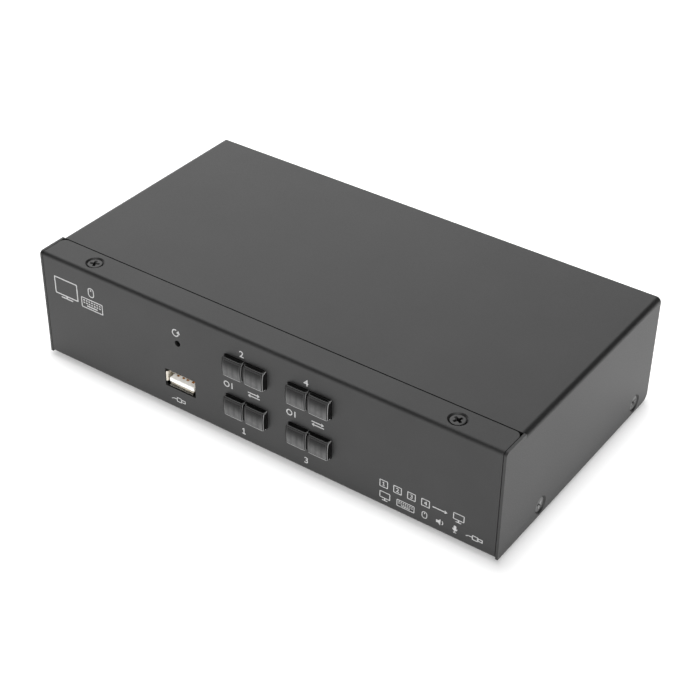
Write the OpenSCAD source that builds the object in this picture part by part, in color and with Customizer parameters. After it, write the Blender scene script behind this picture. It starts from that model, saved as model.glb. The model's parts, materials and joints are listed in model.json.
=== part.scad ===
// Four-port desktop KVM switch in a folded sheet-steel case.
// Frame: +X right, +Y to the rear panel, +Z up, origin under the middle of the case.
// Lengths are millimetres.

/* [Case] */
// Width of the case over the cover's side sheets
body_w = 200; // [198:1:206]
// Depth of the case from front panel to rear panel
body_d = 108; // [108:1:112]
// Height of the case without its feet
body_h = 45; // [44:1:48]
// Thickness of the sheet steel
sheet = 1; // [0.9:0.05:1.1]
// Outer radius of the cover's two bends
cover_bend = 2; // [1.8:0.1:2.4]
// Outer radius of the tray's bends
tray_bend = 1.5; // [1.3:0.1:1.8]
// Depth of the front panel's folded top flange
flange_depth = 11.8; // [11.7:0.1:13]
// Open seam between the flange and the cover
seam_gap = 0.5; // [0.3:0.1:0.6]
// Gap between the tray and each side sheet
side_gap = 0.25; // [0.2:0.05:0.3]
// Height of the rubber feet
foot_h = 1.2; // [1:0.1:2]

/* [Buttons] */
// Width of a port button
button_w = 18.4; // [17:0.1:18.4]
// Height of a port button
button_h = 8.1; // [7.4:0.1:8.2]
// How far a button stands out of the front panel
button_out = 2.3; // [1.8:0.1:2.3]
// How far a button travels when pressed
button_travel = 0.5; // [0.3:0.1:0.6]
// Gap around a button in its panel cut-out
button_gap = 0.2; // [0.15:0.05:0.25]
// How far the reset plunger travels
reset_travel = 0.25; // [0.2:0.05:0.3]

/* [Boards] */
// Thickness of each circuit board
board_t = 1.6; // [1.5:0.1:1.7]
// Height of the spacers under the main board
spacer_h = 7.6; // [7.4:0.1:7.8]
// Height of the spacers between the main board and the upper board
upper_spacer_h = 14; // [13.5:0.5:14.5]

/* [Sockets] */
// How far the rear metal sockets stand out of the rear panel
socket_out = 0.6; // [0.4:0.1:0.8]
// How far the audio jacks' barrels stand out of the rear panel
barrel_out = 2.3; // [2:0.1:2.3]
// Sideways pitch of the four computer ports
port_pitch = 26; // [25:1:27]

/* [Hidden] */
$fn = 48;
eps = 0.01;
cut = 0.5;                                  // overrun of a cutting tool past a face
half_w = body_w / 2;
front_y = -body_d / 2;
rear_y = body_d / 2;
base_z = foot_h;
top_z = base_z + body_h;
tray_half = half_w - sheet - side_gap;      // half width of the tray
flange_back = front_y + flange_depth;       // rear edge of the front flange
seam_y = flange_back + seam_gap;            // front edge of the cover's top
lap_gap = 0.1;                              // gap between lapped sheets
inner_y = front_y + sheet;                  // inner face of the front panel
rear_inner_y = rear_y - sheet;              // inner face of the rear panel
rear_wall_top = top_z - sheet - 0.15;       // top of the rear panel, under the cover
rear_lip = 8;                               // depth of the rear panel's folded lip, behind its bend
rear_bevel = 1;                             // bevel of the rear panel's top corners
side_wall_h = 10;                           // height of the tray's side flanges
side_bend = 1.2;                            // outer bend radius of those flanges
flange_corner = 2.5;                        // corner radius of the front flange
cover_corner = 3.2;                         // radius of the side sheets' low rear corners

// countersunk screws and the dimples that they sit in
screw_head_r = 2.9;
screw_shank_r = 1.45;
screw_sink = 0.6;                           // how far the head lies below the sheet
screw_len = 6;
dish_r = 3.6;                               // mouth of the shallow dish round an outer dimple
dimple_r = 3;                               // mouth of the dimple, at the dish's floor
dimple_bore = 1.75;
dimple_depth = 2.4;
thread_mouth = 3.8;                         // mouth of an inner, tapped dimple
thread_r = 1.5;
thread_depth = 3.1;
flange_screw_x = 78.2;
flange_screw_y = front_y + 6.1;
side_screw_y = [-26.3, 43];
side_screw_z = base_z + 4.4;

// feet
foot_r = 6;
foot_x = 86;
foot_y = 42;

// boards
main_z = base_z + sheet + spacer_h;         // underside of the main board
main_top = main_z + board_t;
main_half = 92;
main_front = front_y + 3.5;
main_rear = rear_y - 3.5;
main_holes = [[-86, -44], [86, -44], [-86, 30], [86, 30], [4, -14]];
upper_z = main_top + upper_spacer_h;        // underside of the upper board
upper_top = upper_z + board_t;
upper_x = [-92, 46];
upper_y = [10, main_rear];
upper_holes = [[-67, 16], [11, 16], [-67, 42], [11, 42]];
front_board_y = front_y + 11;               // front face of the button board
front_board_x = [-42, 36];
front_board_foot = main_top + 0.5;
front_board_step = [-24, main_top + 7.1];   // corner that clears the front USB socket
front_board_top = base_z + 39;
hole_r = 1.6;
spacer_r = 3;
shank_fit = 0.05;
pan_head_r = 2.75;
pan_head_h = 2;
pan_screw_len = 5;
stud_len = 2.4;
header_pitch = 2.54;
pin_r = 0.32;
pin_hole_r = 0.45;
stack_x = -34;                              // stacking connector between the boards
stack_y = 22;
stack_pins = 10;
front_pins = 5;                             // pins between the front board and the main board

// buttons, numbered 1 and 2 in the left column, 3 and 4 in the right one
button_col = [-4, 23.6];
button_row = [base_z + 14.2, base_z + 31.5];
front_header_x = (button_col[0] + button_col[1]) / 2;
button_face = front_y - button_out;
button_round = 0.9;
lens_crown_r = 28;                          // radius of each half's crowned face
groove_half = 0.06;
groove_floor = button_face + 1.5;
lip = 1.2;                                  // how far the retaining lip reaches past the cap
lip_front = inner_y + 0.2;
lip_back = lip_front + 1;
light_pocket = [2.9, 8.3];                  // hollow behind each half, from the middle
light_pocket_h = 6.1;
switch_size = 6;
switch_d = 3.5;
switch_face = front_board_y - switch_d;
plunger_r = 1.7;
plunger_bore = 1.76;
plunger_tip = switch_face - 1;
plunger_in = 2.3;                           // length of plunger inside the switch
led_x = 5.2;
led_r = 1.5;
led_len = 4;

// reset switch behind the pinhole
reset_x = -34.7;
reset_z = base_z + 30.5;
reset_hole_r = 1.25;
reset_plunger_r = 1;
reset_bore = 1.06;
reset_tip = inner_y + 3;

// USB type A sockets
usb_w = 13.1;
usb_h = 5.7;
usb_depth = 14;
usb_wall = 0.3;
usb_x = -34.5;
usb_z = main_top + usb_h / 2;
usb_sink = 0.4;                             // how far the front socket lies behind the panel
usb_cut = [14.1, 7.6];
usb_cut_r = 0.4;
tongue_w = 11.1;
tongue_z = [-2, -0.16];
tongue_tip = 0.3;
tongue_root = 9.5;
contact_tip = 2.4;                          // contacts' front ends, behind the mouth
contact_x = [-3.5, -1, 1, 3.5];
contact_w = 1;
contact_t = 0.25;

// stacked pair of USB type A sockets for keyboard and mouse
stack_usb_x = 57;
stack_usb = [14.4, 17.5, 15.6];
stack_usb_z = main_top + stack_usb[2] / 2;
stack_window = [12.5, 5.1];
stack_level = 3.9;
can_wall = 0.35;

// HDMI sockets
hdmi_depth = 11.5;
hdmi_half = 7;
hdmi_up = 2.275;
hdmi_knee = -0.7;
hdmi_low_half = 4.9;
hdmi_z = main_top + hdmi_up + can_wall;
hdmi_out_x = 31;
hdmi_tongue = [10.4, 1.2];
port_x = [for (i = [0:3]) -2 - i * port_pitch];

// USB type B sockets
usb_b = [12, 16, 10.9];
usb_b_bevel = 2.2;
usb_b_window = [8.45, 7.78];
usb_b_window_bevel = 1.7;
usb_b_tongue = [5.6, 8.2, 3.2];
usb_b_cavity = 9;
usb_b_z = upper_top + usb_b[2] / 2;

// audio jacks
jack_x = [24, 38];
jack_body = [11.5, 12, 6.9];
jack_barrel_r = 3;
jack_bore_r = 1.8;
jack_bore_len = 14;
jack_z = upper_top + jack_body[2] / 2;
jack_mouth = rear_y + barrel_out;

// power jack
dc_x = 80;
dc_body = [9, 14.2, 11];
dc_axis_up = 6.5;
dc_bore_r = 3.2;
dc_bore_len = 9.5;
dc_pin_r = 1.05;
dc_pin_sink = 0.8;                          // how far the pin's tip lies inside the mouth
dc_tail_r = 0.8;                            // thinner rear end of the pin, inside the housing
dc_z = main_top + dc_axis_up;
socket_mouth = rear_y + socket_out;

// parts on the main board
chip_x = -36;
chip_y = -14;
chip_size = 21;
chip_t = 1.4;
sink_size = 28;
sink_base = 2;
sink_h = 10;
sink_fins = 8;
fin_t = 1;

// ---------- helpers ----------

// Block between two corners
module block(low, high) {
  translate(low)
    cube(high - low);
}

// Flat outline in Y and Z carried along X
module along_x(x0, x1) {
  translate([x0, 0, 0])
    rotate([90, 0, 90])
      linear_extrude(x1 - x0)
        children();
}

// Flat outline in X and Z carried along Y
module along_y(y0, y1) {
  translate([0, y1, 0])
    rotate([90, 0, 0])
      linear_extrude(y1 - y0)
        children();
}

// Quarter of a bent sheet's section, turned into its quadrant
module bend(outer, turn) {
  rotate(turn)
    intersection() {
      difference() {
        circle(outer);
        circle(outer - sheet);
      }
      square(outer);
    }
}

// Rectangle centred on the origin with round corners
module round_rect(w, h, r) {
  square([w - 2 * r, h], center = true);
  square([w, h - 2 * r], center = true);
  for (x = [-1, 1])
    for (y = [-1, 1])
      translate([x * (w / 2 - r), y * (h / 2 - r)])
        circle(r);
}

// Rectangle centred on the origin with its two top corners cut off
module bevel_rect(w, h, c) {
  polygon([
    [-w / 2, -h / 2], [w / 2, -h / 2], [w / 2, h / 2 - c],
    [w / 2 - c, h / 2], [-w / 2 + c, h / 2], [-w / 2, h / 2 - c]
  ]);
}

// HDMI socket outline, grown by g on every side
module hdmi_outline(g) {
  polygon([
    [-hdmi_half - g, hdmi_up + g], [-hdmi_half - g, hdmi_knee - 0.3 * g],
    [-hdmi_low_half - 0.5 * g, -hdmi_up - g], [hdmi_low_half + 0.5 * g, -hdmi_up - g],
    [hdmi_half + g, hdmi_knee - 0.3 * g], [hdmi_half + g, hdmi_up + g]
  ]);
}

// Puts children on each top flange screw, local +Z out of the sheet
module at_flange_screws() {
  for (x = [-flange_screw_x, flange_screw_x])
    translate([x, flange_screw_y, top_z])
      children();
}

// Puts children on each side screw, local +Z out of the sheet
module at_side_screws() {
  for (side = [-1, 1])
    for (y = side_screw_y)
      translate([side * half_w, y, side_screw_z])
        rotate([0, side * 90, 0])
          children();
}

// Pressed cup under an outer sheet's countersink
module dimple_cup() {
  translate([0, 0, -dimple_depth])
    cylinder(h = dimple_depth - sheet + 0.2, r1 = dimple_r + 1.66 - dimple_depth,
             r2 = dimple_r + 1.86 - sheet);
}

// Dish, countersink and hole through an outer sheet
module dimple_hole() {
  depth = dimple_r - dimple_bore;
  translate([0, 0, -screw_sink - depth])
    cylinder(h = depth + eps, r1 = dimple_bore, r2 = dimple_r + eps);
  translate([0, 0, -screw_sink])
    cylinder(h = screw_sink, r1 = dimple_r, r2 = dish_r);
  translate([0, 0, -eps])
    cylinder(h = cut, r = dish_r);
  translate([0, 0, -dimple_depth - cut])
    cylinder(h = dimple_depth, r = dimple_bore);
}

// Tapped cup under an inner sheet whose outer face lies at this depth
module thread_cup(depth) {
  translate([0, 0, -depth - thread_depth])
    cylinder(h = thread_depth - sheet + 0.2, r1 = 2.6, r2 = 4.1);
}

// Pocket and tapped hole through an inner sheet
module thread_hole(depth) {
  cone = thread_mouth - thread_r;
  translate([0, 0, -depth - cone])
    cylinder(h = cone, r1 = thread_r, r2 = thread_mouth);
  translate([0, 0, -depth - eps])
    cylinder(h = cut, r = thread_mouth);
  translate([0, 0, -depth - thread_depth - cut])
    cylinder(h = thread_depth, r = thread_r);
}

// Cross recess for a screwdriver, cut down from local z = 0
module cross_recess(reach, depth) {
  for (turn = [0, 90])
    rotate(turn + 20)
      translate([-reach, -0.42, -depth])
        cube([2 * reach, 0.84, depth + cut]);
}

// Countersunk machine screw with its head sunk below local z = 0
module flat_screw() {
  cone = screw_head_r - screw_shank_r;
  difference() {
    union() {
      translate([0, 0, -screw_sink - cone])
        cylinder(h = cone, r1 = screw_shank_r, r2 = screw_head_r);
      translate([0, 0, -screw_sink - screw_len])
        cylinder(h = screw_len - cone + eps, r = screw_shank_r);
    }
    translate([0, 0, -screw_sink])
      cross_recess(1.55, 1);
  }
}

// Pan-head machine screw standing on local z = 0
module pan_screw() {
  difference() {
    union() {
      cylinder(h = pan_head_h, r = pan_head_r);
      translate([0, 0, -pan_screw_len])
        cylinder(h = pan_screw_len + eps, r = screw_shank_r);
    }
    translate([0, 0, pan_head_h])
      cross_recess(1.6, 1.1);
  }
}

// ---------- case ----------

// Section of the tray from its front flange round to its rear lip
module tray_section() {
  translate([front_y + tray_bend, base_z])
    square([body_d - 2 * tray_bend, sheet]);
  translate([front_y + tray_bend, base_z + tray_bend])
    bend(tray_bend, 180);
  translate([front_y, base_z + tray_bend])
    square([sheet, body_h - 2 * tray_bend]);
  translate([front_y + tray_bend, top_z - tray_bend])
    bend(tray_bend, 90);
  translate([front_y + tray_bend, top_z - sheet])
    square([flange_depth - tray_bend, sheet]);
  translate([rear_y - tray_bend, base_z + tray_bend])
    bend(tray_bend, 270);
  translate([rear_y - sheet, base_z + tray_bend])
    square([sheet, rear_wall_top - base_z - 2 * tray_bend]);
  translate([rear_y - tray_bend, rear_wall_top - tray_bend])
    bend(tray_bend, 0);
  translate([rear_y - tray_bend - rear_lip, rear_wall_top - sheet])
    square([rear_lip, sheet]);
}

// Upturned flange along the tray's right edge
module tray_side_section() {
  translate([tray_half - side_bend, base_z + side_bend])
    bend(side_bend, 270);
  translate([tray_half - sheet, base_z + side_bend])
    square([sheet, side_wall_h - side_bend]);
}

// Cut-outs for everything that shows on the front panel
module front_cutouts() {
  for (x = button_col)
    for (z = button_row)
      translate([x, 0, z])
        along_y(front_y - cut, inner_y + cut)
          round_rect(button_w + 2 * button_gap, button_h + 2 * button_gap, button_round);
  translate([usb_x, 0, usb_z])
    along_y(front_y - cut, inner_y + cut)
      round_rect(usb_cut[0], usb_cut[1], usb_cut_r);
  translate([reset_x, 0, reset_z])
    along_y(front_y - cut, inner_y + cut)
      circle(reset_hole_r);
}

// Cut-outs for the sockets on the rear panel
module rear_cutouts() {
  for (x = concat(port_x, [hdmi_out_x]))
    translate([x, 0, hdmi_z])
      along_y(rear_inner_y - cut, rear_y + cut)
        hdmi_outline(0.65);
  for (x = port_x)
    translate([x, 0, usb_b_z])
      along_y(rear_inner_y - cut, rear_y + cut)
        bevel_rect(usb_b[0] + 0.6, usb_b[2] + 0.6, usb_b_bevel);
  for (x = jack_x)
    translate([x, 0, jack_z])
      along_y(rear_inner_y - cut, rear_y + cut)
        circle(jack_barrel_r + 0.2);
  translate([stack_usb_x, 0, stack_usb_z])
    along_y(rear_inner_y - cut, rear_y + cut)
      round_rect(stack_usb[0] + 0.6, stack_usb[2] + 0.6, usb_cut_r);
  translate([dc_x, 0, dc_z - dc_axis_up + dc_body[2] / 2])
    along_y(rear_inner_y - cut, rear_y + cut)
      round_rect(dc_body[0] + 0.6, dc_body[2] + 0.6, usb_cut_r);
}

// Rounded rear corners of the front flange, as the waste to cut away
module flange_corner_waste() {
  for (side = [-1, 1])
    translate([side * (tray_half - flange_corner), flange_back - flange_corner, top_z - sheet - cut])
      difference() {
        translate([side > 0 ? 0 : -flange_corner - cut, 0, 0])
          cube([flange_corner + cut, flange_corner + cut, sheet + 2 * cut]);
        translate([0, 0, -eps])
          cylinder(h = sheet + 3 * cut, r = flange_corner);
      }
}

// Bevelled top corners of the rear panel and its lip, as the waste to cut away
module rear_corner_waste() {
  for (side = [0, 1])
    mirror([side, 0, 0])
      along_y(rear_y - tray_bend - rear_lip - cut, rear_y + cut)
        polygon([
          [tray_half - rear_bevel - cut, rear_wall_top + cut],
          [tray_half + cut, rear_wall_top - rear_bevel - cut],
          [tray_half + cut, rear_wall_top + cut]
        ]);
}

// Folded tray: floor, front panel with top flange, rear panel and side flanges
module chassis_tray() {
  side_end = body_d / 2 - tray_bend - 1;
  color("dimgray")
    difference() {
      union() {
        difference() {
          along_x(-tray_half, tray_half)
            tray_section();
          for (side = [0, 1])
            mirror([side, 0, 0])
              block([tray_half - side_bend, -side_end, base_z - cut],
                    [tray_half + cut, side_end, base_z + sheet + cut]);
        }
        for (side = [0, 1])
          mirror([side, 0, 0])
            along_y(-side_end, side_end)
              tray_side_section();
        at_flange_screws()
          dimple_cup();
        at_side_screws()
          thread_cup(sheet + side_gap);
      }
      at_flange_screws()
        dimple_hole();
      at_side_screws()
        thread_hole(sheet + side_gap);
      front_cutouts();
      rear_cutouts();
      flange_corner_waste();
      rear_corner_waste();
      for (p = main_holes)
        translate([p[0], p[1], base_z - cut])
          cylinder(h = sheet + 2 * cut, r = spacer_r - 0.8);
    }
}

// Section of the cover: top, two bends and two side sheets
module cover_section() {
  translate([-half_w + cover_bend, top_z - sheet])
    square([body_w - 2 * cover_bend, sheet]);
  for (side = [0, 1])
    mirror([side, 0]) {
      translate([half_w - cover_bend, top_z - cover_bend])
        bend(cover_bend, 0);
      translate([half_w - sheet, base_z])
        square([sheet, body_h - cover_bend]);
    }
}

// Outline of a side sheet in front of the seam, its top corner rounded like the front panel's bend
module side_front() {
  difference() {
    translate([front_y, base_z])
      square([seam_y + eps - front_y, body_h]);
    translate([front_y + tray_bend, top_z - tray_bend])
      difference() {
        translate([-tray_bend - cut, 0])
          square(tray_bend + cut);
        circle(tray_bend);
      }
  }
}

// Cover: top and sides, with a stepped tongue under the front flange
module top_cover() {
  tongue_top = top_z - sheet - lap_gap;
  color("dimgray")
    difference() {
      union() {
        along_y(seam_y, rear_y)
          cover_section();
        for (side = [0, 1])
          mirror([side, 0, 0])
            along_x(half_w - sheet, half_w)
              side_front();
        block([-half_w + 4, inner_y + 1.2, tongue_top - sheet], [half_w - 4, seam_y + sheet, tongue_top]);
        block([-half_w + 4, seam_y, tongue_top - sheet], [half_w - 4, seam_y + sheet, top_z - sheet / 2]);
        at_flange_screws()
          thread_cup(sheet + lap_gap);
        at_side_screws()
          dimple_cup();
      }
      at_flange_screws()
        thread_hole(sheet + lap_gap);
      at_side_screws()
        dimple_hole();
      translate([0, rear_y - cover_corner, base_z + cover_corner])
        along_x(-half_w - cut, half_w + cut)
          difference() {
            translate([0, -cover_corner - cut])
              square(cover_corner + cut);
            circle(cover_corner);
          }
    }
}

// Two countersunk screws through the front flange
module flange_screws() {
  color([0.12, 0.12, 0.13])
    at_flange_screws()
      flat_screw();
}

// Four countersunk screws through the side sheets
module side_screws() {
  color([0.12, 0.12, 0.13])
    at_side_screws()
      flat_screw();
}

// Four stick-on feet
module rubber_feet() {
  color([0.08, 0.08, 0.08])
    for (x = [-foot_x, foot_x])
      for (y = [-foot_y, foot_y])
        translate([x, y, 0])
          cylinder(h = foot_h, r1 = foot_r - 0.5, r2 = foot_r);
}

// ---------- boards ----------

// Puts children on each pin of a header, in a row along X about this middle
module at_pins(middle, pins) {
  for (i = [0:pins - 1])
    translate([middle + (i - (pins - 1) / 2) * header_pitch, 0, 0])
      children();
}

// Row of holes for a pin header through a level board
module header_holes(middle, pins, y, z) {
  at_pins(middle, pins)
    translate([0, y, z - cut])
      cylinder(h = board_t + 2 * cut, r = pin_hole_r, $fn = 24);
}

// Main circuit board
module main_board() {
  color("darkgreen")
    difference() {
      block([-main_half, main_front, main_z], [main_half, main_rear, main_top]);
      for (p = concat(main_holes, upper_holes))
        translate([p[0], p[1], main_z - cut])
          cylinder(h = board_t + 2 * cut, r = hole_r);
      header_holes(front_header_x, front_pins, front_board_y + board_t + 2, main_z);
      header_holes(stack_x, stack_pins, stack_y, main_z);
    }
}

// Threaded spacers pressed into the tray's floor
module main_board_spacers() {
  color("silver")
    for (p = main_holes)
      translate([p[0], p[1], base_z + sheet])
        difference() {
          union() {
            cylinder(h = spacer_h, r = spacer_r, $fn = 6);
            translate([0, 0, -sheet])
              cylinder(h = sheet + eps, r = spacer_r - 0.8 - shank_fit);
          }
          translate([0, 0, spacer_h - 5])
            cylinder(h = 5 + cut, r = thread_r);
        }
}

// Pan-head screws that hold the main board
module main_board_screws() {
  color("silver")
    for (p = main_holes)
      translate([p[0], p[1], main_top])
        pan_screw();
}

// Upper board, which carries the USB type B sockets and the audio jacks
module upper_board() {
  color("darkgreen")
    difference() {
      block([upper_x[0], upper_y[0], upper_z], [upper_x[1], upper_y[1], upper_top]);
      for (p = upper_holes)
        translate([p[0], p[1], upper_z - cut])
          cylinder(h = board_t + 2 * cut, r = hole_r);
      header_holes(stack_x, stack_pins, stack_y, upper_z);
    }
}

// Hexagonal spacers between the two boards, with studs through the main board
module upper_board_spacers() {
  color("silver")
    for (p = upper_holes)
      translate([p[0], p[1], main_top])
        difference() {
          union() {
            cylinder(h = upper_spacer_h, r = spacer_r, $fn = 6);
            translate([0, 0, -stud_len])
              cylinder(h = stud_len + eps, r = screw_shank_r);
          }
          translate([0, 0, upper_spacer_h - 6])
            cylinder(h = 6 + cut, r = thread_r);
        }
}

// Pan-head screws that hold the upper board
module upper_board_screws() {
  color("silver")
    for (p = upper_holes)
      translate([p[0], p[1], upper_top])
        pan_screw();
}

// Upright board behind the front panel
module front_board() {
  color("darkgreen")
    difference() {
      along_y(front_board_y, front_board_y + board_t)
        polygon([
          [front_board_step[0], front_board_foot], [front_board_x[1], front_board_foot],
          [front_board_x[1], front_board_top], [front_board_x[0], front_board_top],
          [front_board_x[0], front_board_step[1]], [front_board_step[0], front_board_step[1]]
        ]);
      at_pins(front_header_x, front_pins)
        translate([0, front_board_y - cut, main_top + 1.6])
          rotate([-90, 0, 0])
            cylinder(h = board_t + 2 * cut, r = pin_hole_r, $fn = 24);
    }
}

// Right-angle pin header between the front board and the main board
module front_header() {
  back = front_board_y + board_t;
  half = front_pins * header_pitch / 2;
  color([0.1, 0.1, 0.1])
    union() {
      block([front_header_x - half, back, main_top], [front_header_x + half, back + 3.2, main_top + 3]);
      at_pins(front_header_x, front_pins) {
        translate([0, back + 2, main_z - 1])
          cylinder(h = board_t + 1.5, r = pin_r, $fn = 24);
        translate([0, back + 0.5, main_top + 1.6])
          rotate([90, 0, 0])
            cylinder(h = board_t + 1.5, r = pin_r, $fn = 24);
      }
    }
}

// Tall header that joins the main board and the upper board
module stacking_header() {
  half = stack_pins * header_pitch / 2;
  color([0.1, 0.1, 0.1])
    union() {
      block([stack_x - half, stack_y - 2.5, main_top], [stack_x + half, stack_y + 2.5, upper_z]);
      at_pins(stack_x, stack_pins)
        translate([0, stack_y, main_z - 1])
          cylinder(h = upper_top - main_z + 2, r = pin_r, $fn = 24);
    }
}

// ---------- buttons ----------

// Middle of a numbered button, at Y = 0
function button_place(n) = [button_col[floor((n - 1) / 2)], 0, button_row[(n - 1) % 2]];

// Crowned half of a button's face
module lens_half(side) {
  middle = side * (button_w + 2 * groove_half) / 4;
  inner = side > 0 ? groove_half : -button_w / 2;
  intersection() {
    translate([middle, button_face + lens_crown_r, -button_h / 2])
      cylinder(h = button_h, r = lens_crown_r, $fn = 96);
    block([inner, button_face, -button_h / 2],
          [inner + button_w / 2 - groove_half, lip_front + eps, button_h / 2]);
  }
}

// Smoked button cap: two crowned halves, retaining lip and a stem for the switch
module button_cap(n) {
  color([0.13, 0.13, 0.14])
    translate(button_place(n))
      difference() {
        union() {
          intersection() {
            along_y(button_face, lip_front + eps)
              round_rect(button_w, button_h, button_round);
            union() {
              lens_half(-1);
              lens_half(1);
              block([-button_w / 2, groove_floor, -button_h / 2],
                    [button_w / 2, lip_front + eps, button_h / 2]);
            }
          }
          along_y(lip_front, lip_back)
            round_rect(button_w + 2 * lip, button_h + 2 * lip, button_round);
          block([-2.2, lip_back - eps, -2], [2.2, plunger_tip, 2]);
        }
        for (side = [0, 1])
          mirror([side, 0, 0])
            block([light_pocket[0], groove_floor + 0.2, -light_pocket_h / 2],
                  [light_pocket[1], lip_back + cut, light_pocket_h / 2]);
      }
}

// Push switch body on the front board
module switch_body(face, bore, depth) {
  difference() {
    block([-switch_size / 2, face, -switch_size / 2], [switch_size / 2, front_board_y, switch_size / 2]);
    translate([0, face + depth, 0])
      rotate([90, 0, 0])
        cylinder(h = depth + cut, r = bore);
  }
}

// Body of one button's switch
module button_switch(n) {
  color([0.2, 0.2, 0.2])
    translate(button_place(n))
      switch_body(switch_face, plunger_bore, plunger_in + button_travel + 0.2);
}

// Plunger that a button presses into its switch
module switch_plunger(n) {
  color("ivory")
    translate(button_place(n))
      translate([0, switch_face + plunger_in, 0])
        rotate([90, 0, 0])
          cylinder(h = plunger_in + switch_face - plunger_tip, r = plunger_r);
}

// Two light-emitting diodes behind each button
module status_leds() {
  color("whitesmoke")
    for (n = [1:4])
      for (side = [-1, 1])
        translate(button_place(n) + [side * led_x, front_board_y, 0])
          rotate([90, 0, 0]) {
            cylinder(h = 0.8, r = led_r + 0.4);
            cylinder(h = led_len, r = led_r);
            translate([0, 0, led_len])
              intersection() {
                sphere(led_r);
                cylinder(h = led_r, r = led_r);
              }
          }
}

// Switch behind the reset pinhole
module reset_switch() {
  color([0.2, 0.2, 0.2])
    translate([reset_x, 0, reset_z])
      switch_body(switch_face, reset_bore, plunger_in + reset_travel + 0.2);
}

// Long plunger that a pin pushes through the reset pinhole
module reset_plunger() {
  color("ivory")
    translate([reset_x, switch_face + plunger_in, reset_z])
      rotate([90, 0, 0])
        cylinder(h = plunger_in + switch_face - reset_tip, r = reset_plunger_r);
}

// ---------- USB type A ----------

// Plastic tongue of a type A socket, mouth at local y = 0 and facing +Y
module usb_tongue() {
  block([-tongue_w / 2, -tongue_root - eps, tongue_z[0]], [tongue_w / 2, -tongue_tip, tongue_z[1]]);
}

// Four contact strips on that tongue
module usb_contact_strips() {
  for (x = contact_x)
    block([x - contact_w / 2, -tongue_root, tongue_z[1]],
          [x + contact_w / 2, -contact_tip, tongue_z[1] + contact_t]);
}

// Puts the front socket in place, facing out of the front panel
module at_front_usb() {
  translate([usb_x, front_y + usb_sink, usb_z])
    mirror([0, 1, 0])
      children();
}

// Metal shell of the front socket
module front_usb_shell() {
  color("lightgray")
    at_front_usb()
      difference() {
        block([-usb_w / 2, -usb_depth, -usb_h / 2], [usb_w / 2, 0, usb_h / 2]);
        block([-usb_w / 2 + usb_wall, -usb_depth + usb_wall, -usb_h / 2 + usb_wall],
              [usb_w / 2 - usb_wall, cut, usb_h / 2 - usb_wall]);
      }
}

// White insert with the tongue of the front socket
module front_usb_insert() {
  fit = usb_wall + 0.05;
  color("white")
    at_front_usb() {
      block([-usb_w / 2 + fit, -usb_depth + fit, -usb_h / 2 + fit],
            [usb_w / 2 - fit, -tongue_root, usb_h / 2 - fit]);
      usb_tongue();
    }
}

// Contacts of the front socket
module front_usb_contacts() {
  color("peru")
    at_front_usb()
      usb_contact_strips();
}

// Puts the stacked pair in place, facing out of the rear panel
module at_console_usb() {
  translate([stack_usb_x, socket_mouth, stack_usb_z])
    children();
}

// Metal can of the stacked pair, with two windows
module console_usb_shell() {
  color("lightgray")
    at_console_usb()
      difference() {
        block([-stack_usb[0] / 2, -stack_usb[1], -stack_usb[2] / 2], [stack_usb[0] / 2, 0, stack_usb[2] / 2]);
        block([-stack_usb[0] / 2 + can_wall, -stack_usb[1] + can_wall, -stack_usb[2] / 2 + can_wall],
              [stack_usb[0] / 2 - can_wall, -can_wall, stack_usb[2] / 2 - can_wall]);
        for (level = [-stack_level, stack_level])
          translate([0, 0, level])
            block([-stack_window[0] / 2, -can_wall - cut, -stack_window[1] / 2],
                  [stack_window[0] / 2, cut, stack_window[1] / 2]);
      }
}

// Black insert of the stacked pair, with two cavities and two tongues
module console_usb_insert() {
  fit = can_wall + 0.05;
  color([0.12, 0.12, 0.12])
    at_console_usb() {
      difference() {
        block([-stack_usb[0] / 2 + fit, -stack_usb[1] + fit, -stack_usb[2] / 2 + fit],
              [stack_usb[0] / 2 - fit, -fit, stack_usb[2] / 2 - fit]);
        for (level = [-stack_level, stack_level])
          translate([0, 0, level])
            block([-stack_window[0] / 2, -tongue_root, -stack_window[1] / 2],
                  [stack_window[0] / 2, cut, stack_window[1] / 2]);
      }
      for (level = [-stack_level, stack_level])
        translate([0, 0, level])
          mirror([0, 0, 1])
            usb_tongue();
    }
}

// Contacts of the stacked pair
module console_usb_contacts() {
  color("peru")
    at_console_usb()
      for (level = [-stack_level, stack_level])
        translate([0, 0, level])
          mirror([0, 0, 1])
            usb_contact_strips();
}

// ---------- HDMI ----------

// Metal shell of one HDMI socket
module hdmi_shell(x) {
  color("silver")
    translate([x, 0, hdmi_z])
      difference() {
        along_y(socket_mouth - hdmi_depth, socket_mouth)
          hdmi_outline(can_wall);
        along_y(socket_mouth - hdmi_depth + can_wall, socket_mouth + cut)
          hdmi_outline(0);
      }
}

// Black inserts of the five HDMI sockets, each with its contact tongue
module hdmi_inserts() {
  root = socket_mouth - hdmi_depth + can_wall + 0.05;
  color([0.1, 0.1, 0.1])
    for (x = concat(port_x, [hdmi_out_x]))
      translate([x, 0, hdmi_z]) {
        along_y(root, root + 2.4)
          hdmi_outline(-0.05);
        block([-hdmi_tongue[0] / 2, root + 2.4 - eps, -0.4],
              [hdmi_tongue[0] / 2, socket_mouth - 1, hdmi_tongue[1] - 0.4]);
      }
}

// ---------- USB type B ----------

// Metal can of one type B socket
module usb_b_shell(n) {
  mouth = socket_mouth;
  inset = usb_b_bevel - 0.586 * can_wall;
  color("silver")
    translate([port_x[n - 1], 0, usb_b_z])
      difference() {
        along_y(mouth - usb_b[1], mouth)
          bevel_rect(usb_b[0], usb_b[2], usb_b_bevel);
        along_y(mouth - usb_b[1] + can_wall, mouth - can_wall)
          bevel_rect(usb_b[0] - 2 * can_wall, usb_b[2] - 2 * can_wall, inset);
        along_y(mouth - can_wall - cut, mouth + cut)
          bevel_rect(usb_b_window[0], usb_b_window[1], usb_b_window_bevel);
      }
}

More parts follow.
